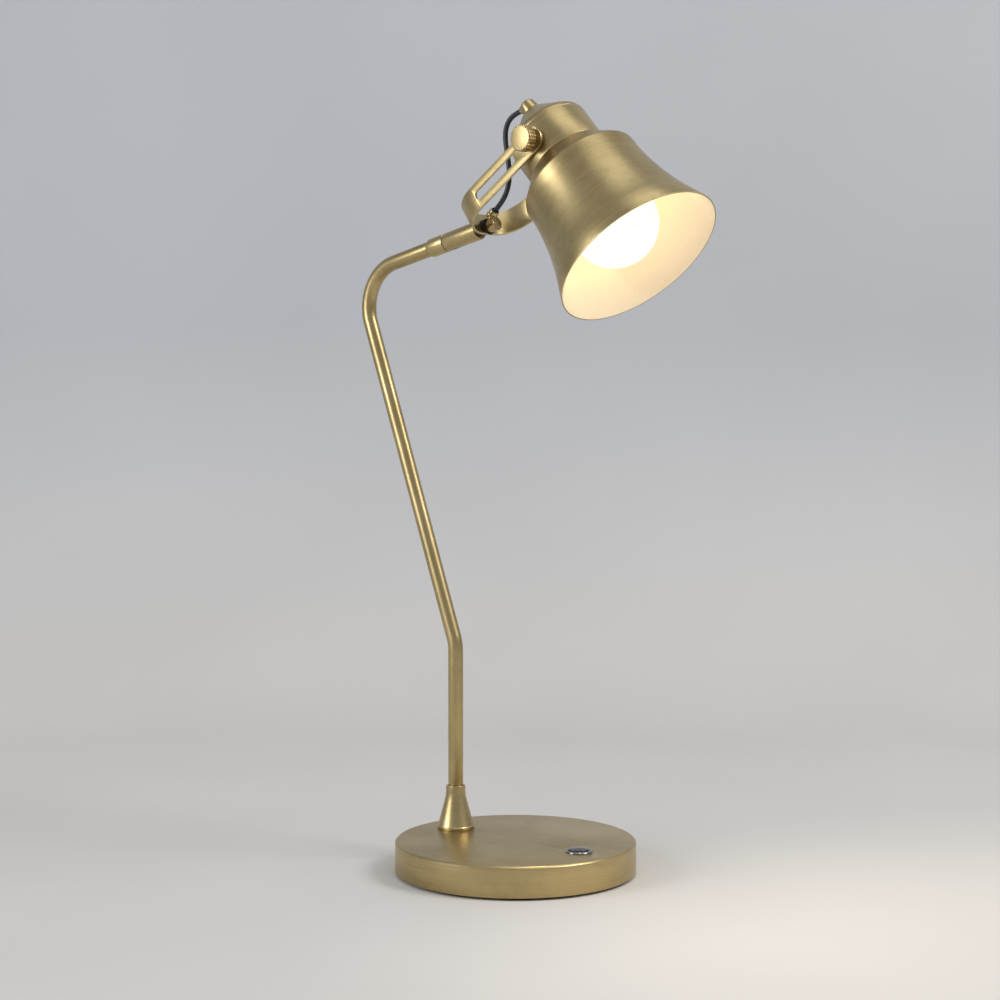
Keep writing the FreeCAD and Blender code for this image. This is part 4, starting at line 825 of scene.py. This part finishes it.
def makeBell():
    b = bell
    edge = (b["side"] - b["step"], b["shoulder"] - b["step"])
    bm = lathe([
        (b["rim"], 0), (b["flare"], b["flareHeight"]), (b["side"], b["sideHeight"], -b["hollow"]),
        (b["side"], b["shoulder"] - b["round"]), (*edge, b["round"]), (b["seat"], b["seatHeight"]),
        (b["hole"], b["seatHeight"]), (b["hole"], b["seatHeight"] - b["wall"]),
        (b["seat"] - b["slip"], b["seatHeight"] - b["wall"]), (edge[0] - b["wall"], edge[1] - b["slip"]),
        (b["side"] - b["wall"], b["shoulder"] - b["round"] - b["slip"], b["slip"] - b["round"]),
        (b["side"] - b["wall"], b["sideHeight"]), (b["flare"] - b["wall"], b["flareHeight"], b["hollow"] + b["wall"]),
        (b["rim"] - b["wall"], 0)], b["sides"])
    bevelSharp(bm, b["edge"])
    for face in bm.faces:  # the second material is the lacquer inside
        centre = face.calc_center_median()
        outward = Vector((centre.x, centre.y, 0)).normalized()
        if face.normal.dot(outward) < b["inward"] or (face.normal.z < b["downward"] and centre.z > b["rimBand"]):
            face.material_index = 1
    brass = brassMaterial("bellBrass", inShade, fine=1900.0, spread=1.2, cloudSize=22.0, mottle=0.35, bump=0.15)
    finishPiece("shadeBell", bm, inShade, "shade", [brass, materials["cream"]], ["shade_bell"], 0)


def makeNeck():
    n, low = neck, bell["seatHeight"]
    high = low + n["length"]
    bm = lathe([
        (bell["hole"], low), (n["radius"] - n["chamfer"], low), (n["radius"], low + n["chamfer"]), (n["radius"], high),
        (n["radius"] - n["wall"], high), (n["radius"] - n["wall"], low + n["wall"]),
        (bell["hole"], low + n["wall"])], steps=160)
    bevelSharp(bm, n["edge"])
    for sign in (1, -1):
        spot = axisFrame((n["pivotAcross"], 0, n["pivotHeight"]), (0, sign, 0))
        boss = lathe([(n["stud"], n["bossRoot"]), (n["boss"], n["bossRoot"]), (n["boss"], n["bossFace"]),
                      (n["stud"], n["bossFace"])], steps=48)
        bevelSharp(boss, n["edge"])
        joined(bm, boss, spot)
    neckBrass = brassMaterial("neckBrass", inShade, fine=2200.0, spread=1.2)
    finishPiece("neckHousing", bm, inShade, "shade", neckBrass, ["neck_housing"], 0)
    inner = n["radius"] - n["wall"] - cap["seat"]
    top = high + cap["length"]
    drop, climb = n["radius"] - cap["end"] - n["chamfer"], cap["length"] - cap["lift"] - n["chamfer"]
    slant = math.hypot(drop, climb)
    coneStart = high + cap["lift"] + cap["lift"] * climb / slant
    lid = lathe([
        (cap["bore"], top), (cap["bore"], top - cap["wall"]),
        (cap["end"] + n["chamfer"] - cap["wall"] * climb / slant, top - cap["wall"]),
        (inner - cap["wall"], coneStart - cap["wall"] * drop / slant), (inner - cap["wall"], high - cap["spigot"]),
        (inner, high - cap["spigot"]), (inner, high), (n["radius"], high),
        (n["radius"] - cap["lift"] * drop / slant, coneStart, cap["lift"] * drop / (slant - climb)),
        (cap["end"] + n["chamfer"], top - n["chamfer"]), (cap["end"] - n["chamfer"], top)], steps=128)
    finishPiece("neckCap", lid, inShade, "shade", neckBrass, ["neck_cap"], cap["edge"])


gland = {"base": 6.8, "radius": 5.5, "height": 9.6, "round": 1.6, "thread": 3.5, "tail": 6, "eyeHeight": 6.8,
         "eye": 2.7, "eyeReach": 6.6, "tilt": 22, "edge": 0.25}


def makeGland():
    g = gland
    foot = bell["seatHeight"] + neck["length"] + cap["length"]
    top = foot + g["height"]
    bm = lathe([(0, foot - g["tail"]), (g["thread"], foot - g["tail"]), (g["thread"], foot), (g["base"], foot),
                (g["radius"], top - g["round"]), (g["radius"] - g["round"], top, g["round"]), (0, top)], steps=64)
    tilt = math.radians(g["tilt"])
    eye = axisFrame((0, 0, foot + g["eyeHeight"]), (-math.cos(tilt), 0, math.sin(tilt)))
    bar(g["eye"], 0, g["eyeReach"], eye, steps=40, into=bm)
    finishPiece("leadGland", bm, inShade, "shade",
                brassMaterial("glandBrass", inShade, fine=2600.0, rough=0.3), ["lead_gland"], g["edge"])


knob = {"radius": 8.9, "hub": 5.2, "hubHeight": 4, "head": 7.5, "chamfer": 0.7, "flutes": 22, "fluteDepth": 0.55,
        "columns": 6, "pressedColumns": (0, 1), "stud": 2.5, "seat": 6.5, "foot": 31.6, "studStart": 21.4,
        "studPlay": 0.2, "edge": 0.15}
washer = {"bore": 2.6, "radius": 6.8, "thick": 0.4, "edge": 0.08}


def makeKnobs():
    k = knob
    low, high = k["foot"] + k["hubHeight"], k["foot"] + k["hubHeight"] + k["head"]
    for side, sign in (("near", -1), ("far", 1)):
        place = axisFrame(places["pivot"], (0, sign, 0))
        bm = lathe([
            (0, k["foot"]), (k["hub"], k["foot"]), (k["hub"], low), (k["radius"] - k["chamfer"], low),
            (k["radius"], low + k["chamfer"]), (k["radius"], high - k["chamfer"]), (k["radius"] - k["chamfer"], high),
            (0, high)], k["flutes"] * k["columns"])
        bevelSharp(bm, k["edge"])
        pressed = []  # two in six of the outside's columns go in, as flutes
        for vertex in bm.verts:
            turn = math.atan2(vertex.co.y, vertex.co.x) / math.tau
            column = round(turn * k["flutes"] * k["columns"]) % k["columns"]
            if vertex.co.xy.length > k["radius"] - k["chamfer"] * 1.5 and column in k["pressedColumns"]:
                pressed.append(vertex)
        share = 1 - k["fluteDepth"] / k["radius"]
        bmesh.ops.scale(bm, verts=pressed, vec=(share, share, 1))
        finishPiece(side + "Knob", bm, place, side + "_clamp",
                    brassMaterial(side + "KnobBrass", place, fine=2600.0), [side + "_knob"], 0)
        stud = bar(k["stud"], k["studStart"], k["foot"] + k["seat"] - k["studPlay"], steps=32)
        finishPiece(side + "Stud", stud, place, side + "_clamp", materials["steel"], [side + "_stud"], 0.2)
    washers = bmesh.new()
    for sign in (1, -1):
        inner, outer = neck["bossFace"], neck["bossFace"] + washer["thick"]
        disc = lathe([(washer["bore"], inner), (washer["radius"], inner), (washer["radius"], outer),
                      (washer["bore"], outer)], steps=48)
        joined(washers, disc, axisFrame((0, 0, 0), (0, sign, 0)))
    finishPiece("armWashers", washers, Matrix.Translation(places["pivot"]), "shade", materials["fibre"],
                ["arm_washers"], washer["edge"])


makeBell()
makeNeck()
makeGland()
makeKnobs()
print("shade, neck, gland and knobs made")

holder = {"front": 84, "rear": 113, "bore": 14.5, "radius": 19.6, "flange": 24, "flangeLow": 92.1, "flangeHigh": 94.1,
          "ring": 25, "ringLow": 85.3, "ringHeight": 4, "ringRoom": 0.1, "chamfer": 3, "wall": 3, "sides": 80,
          "edge": 0.5}
bulb = {"radius": 30, "shoulder": 38, "neck": 13.6, "centre": 32.0, "sides": 96, "edge": 0.3}


def makeHolder():
    h = holder
    body = lathe([
        (h["bore"], h["front"]), (h["radius"], h["front"]), (h["radius"], h["flangeLow"]),
        (h["flange"], h["flangeLow"]), (h["flange"], h["flangeHigh"]), (h["radius"], h["flangeHigh"]),
        (h["radius"], h["rear"] - h["chamfer"]), (h["radius"] - h["chamfer"], h["rear"]), (0, h["rear"]),
        (0, h["rear"] - h["wall"]), (h["bore"], h["rear"] - h["wall"])], h["sides"])
    finishPiece("lampHolder", body, inShade, "shade", materials["holder"], ["lampholder"], h["edge"])
    bore, high = h["radius"] + h["ringRoom"], h["ringLow"] + h["ringHeight"]
    ring = lathe([(bore, h["ringLow"]), (h["ring"], h["ringLow"]), (h["ring"], high), (bore, high)], h["sides"])
    finishPiece("holderRing", ring, inShade, "shade", materials["holder"], ["holder_ring"],
                h["edge"])


def makeBulb():
    b = bulb
    turn = math.radians(b["shoulder"])
    across = b["radius"] * math.cos(turn)
    bend = (across - b["neck"]) / (1 - math.cos(turn))
    end = b["centre"] + (b["radius"] + bend) * math.sin(turn)
    bm = lathe([
        (0, b["centre"] - b["radius"]), (b["radius"], b["centre"], b["radius"]),
        (across, b["centre"] + b["radius"] * math.sin(turn), b["radius"]), (b["neck"], end, -bend),
        (0, end)], b["sides"])
    finishPiece("bulbGlass", bm, inShade, "shade", materials["bulb"], ["bulb_glass"],
                b["edge"])


makeHolder()
makeBulb()
print("lampholder and bulb made")

# solids that stay as they are, hidden inside the lamp or small, each with its own finish
kept = {
    "base_plate": "steel", "plate_screws": "steel", "base_weight": "iron", "terminal_block": "holder",
    "stem_washer": "steel", "stem_nut": "steel", "switch_nut": "steel", "swivel_washer": "fibre", "gland_nut": "steel",
    "pivot_nuts": "steel", "bulb_cap": "cap", "bulb_contact": "steel"}
threadBrass = brassMaterial("threadBrass", inArm, fine=2600.0, rough=0.3)
for nodeName in ("yoke_nipple", "lampholder_shell", "lampholder_contact"):
    materials[nodeName] = threadBrass
    kept[nodeName] = nodeName
for nodeName, word in kept.items():
    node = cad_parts[nodeName]
    node.data.materials.clear()
    node.data.materials.append(materials[word])
print("kept solids dressed")

# the floor and wall tones paint the light falling off from the floor up the wall
stage = {"floorReach": 0.56, "bendRadius": 0.42, "wallTop": 2.6, "halfWidth": 3.2, "near": 3.0, "bendSteps": 32,
         "fadeFrom": 0.02, "mottleScale": 3.0,
         "floorLow": colour(214, 211, 207), "floorHigh": colour(219, 216, 212),
         "wallLow": colour(196, 198, 202), "wallHigh": colour(200, 202, 206)}


def makeStage():
    # a strip pulled back along the view, swept up a round bend and on up as a wall
    s = stage
    away = -cameraBack
    bm = bmesh.new()
    ends = [bm.verts.new(cameraBack * s["near"] + cameraRight * side * s["halfWidth"]) for side in (-1, 1)]
    edges = extruded(bm, [bm.edges.new(ends)], away * (s["near"] + s["floorReach"]))
    centre = away * s["floorReach"] + Vector((0, 0, s["bendRadius"]))
    edges = swept(bm, edges, centre, cameraRight, math.pi / 2, s["bendSteps"])
    extruded(bm, edges, (0, 0, s["wallTop"]))
    for face in bm.faces:
        face.normal_update()
    if sum(face.normal.z for face in bm.faces) < 0:
        bmesh.ops.reverse_faces(bm, faces=bm.faces)
    mesh = smoothMesh("paperSweep", bm)
    linked("paperSweep", mesh)

    material, tree, shader = newMaterial("studioPaper")
    here = ownPlace(tree)
    mottle = ranged(tree, noise(tree, here, s["mottleScale"], 2), 0.3, 0.7)
    floorLitTone = mixed(tree, mottle, s["floorLow"], s["floorHigh"])
    wallShadedTone = mixed(tree, mottle, s["wallLow"], s["wallHigh"])
    # painted shade: the paper is lighter and warmer on the floor and darker and cooler up the wall
    height = ranged(tree, split(tree, here)[2], s["fadeFrom"], s["bendRadius"])
    feed(tree, shader.inputs["Base Color"], mixed(tree, height, floorLitTone, wallShadedTone))
    shader.inputs["Roughness"].default_value = 0.9
    shader.inputs["Specular IOR Level"].default_value = 0.1
    through = tree.nodes.new("ShaderNodeBsdfTransparent")
    behind = tree.nodes.new("ShaderNodeNewGeometry").outputs["Backfacing"]
    choose = tree.nodes.new("ShaderNodeMixShader")
    feed(tree, choose.inputs[0], behind)
    feed(tree, choose.inputs[1], shader.outputs[0])
    feed(tree, choose.inputs[2], through.outputs[0])
    feed(tree, tree.nodes["Material Output"].inputs["Surface"], choose.outputs[0])
    mesh.materials.append(material)


lights = {
    "key": {"size": 0.9, "energy": 19, "across": 1.5, "back": 0.5, "up": 1.7, "colour": (1, 0.985, 0.96)},
    "fill": {"size": 0.8, "energy": 12, "across": -1.6, "back": 0.7, "up": 0.8, "colour": (0.96, 0.98, 1)},
    "top": {"size": 1.2, "energy": 5, "across": 0.2, "back": 0.3, "up": 2.3, "colour": (1, 1, 1)},
    "bulb": {"radius": 0.028, "energy": 0.085, "colour": (1, 0.88, 0.7)},
    "pool": {"radius": 0.03, "energy": 3.2, "spread": 120, "height": -2, "colour": (1, 0.87, 0.68)},
    "world": {"colour": colour(214, 217, 222), "strength": 0.56},
    "aim": (0, 0, 0.28),
}


def addLights():
    aim = Vector(lights["aim"])
    for name in ("key", "fill", "top"):
        setting = lights[name]
        data = bpy.data.lights.new(name, "AREA")
        data.shape, data.size = "SQUARE", setting["size"]
        data.energy, data.color = setting["energy"], setting["colour"]
        lamp = linked(name, data)
        spot = cameraRight * setting["across"] + cameraBack * setting["back"] + Vector((0, 0, setting["up"]))
        lamp.matrix_world = Matrix.Translation(spot) @ (spot - aim).to_track_quat("Z", "Y").to_matrix().to_4x4()
    for name, kind, height in (("bulb", "POINT", bulb["centre"]), ("pool", "SPOT", lights["pool"]["height"])):
        setting = lights[name]
        data = bpy.data.lights.new(name + "Light", kind)
        data.energy, data.color, data.shadow_soft_size = setting["energy"], setting["colour"], setting["radius"]
        lamp = linked(name + "Light", data)
        spot = Matrix.Translation((inShade @ Vector((0, 0, height))) * unit)
        lamp.matrix_world = spot
    # the second of them shines out along the shade's axis
    data.spot_size, data.spot_blend = math.radians(setting["spread"]), 1
    lamp.matrix_world = spot @ places["shadeAxis"].to_track_quat("Z", "Y").to_matrix().to_4x4()
    bpy.data.objects["bulbGlass"].visible_shadow = False
    world = bpy.data.worlds.new("studio")
    bpy.context.scene.world = world
    world.use_nodes = True
    sky = world.node_tree.nodes["Background"].inputs
    sky["Color"].default_value = lights["world"]["colour"]
    sky["Strength"].default_value = lights["world"]["strength"]


makeStage()
addLights()
bpy.context.scene.view_settings.view_transform = "Standard"
print("stage and lights set")
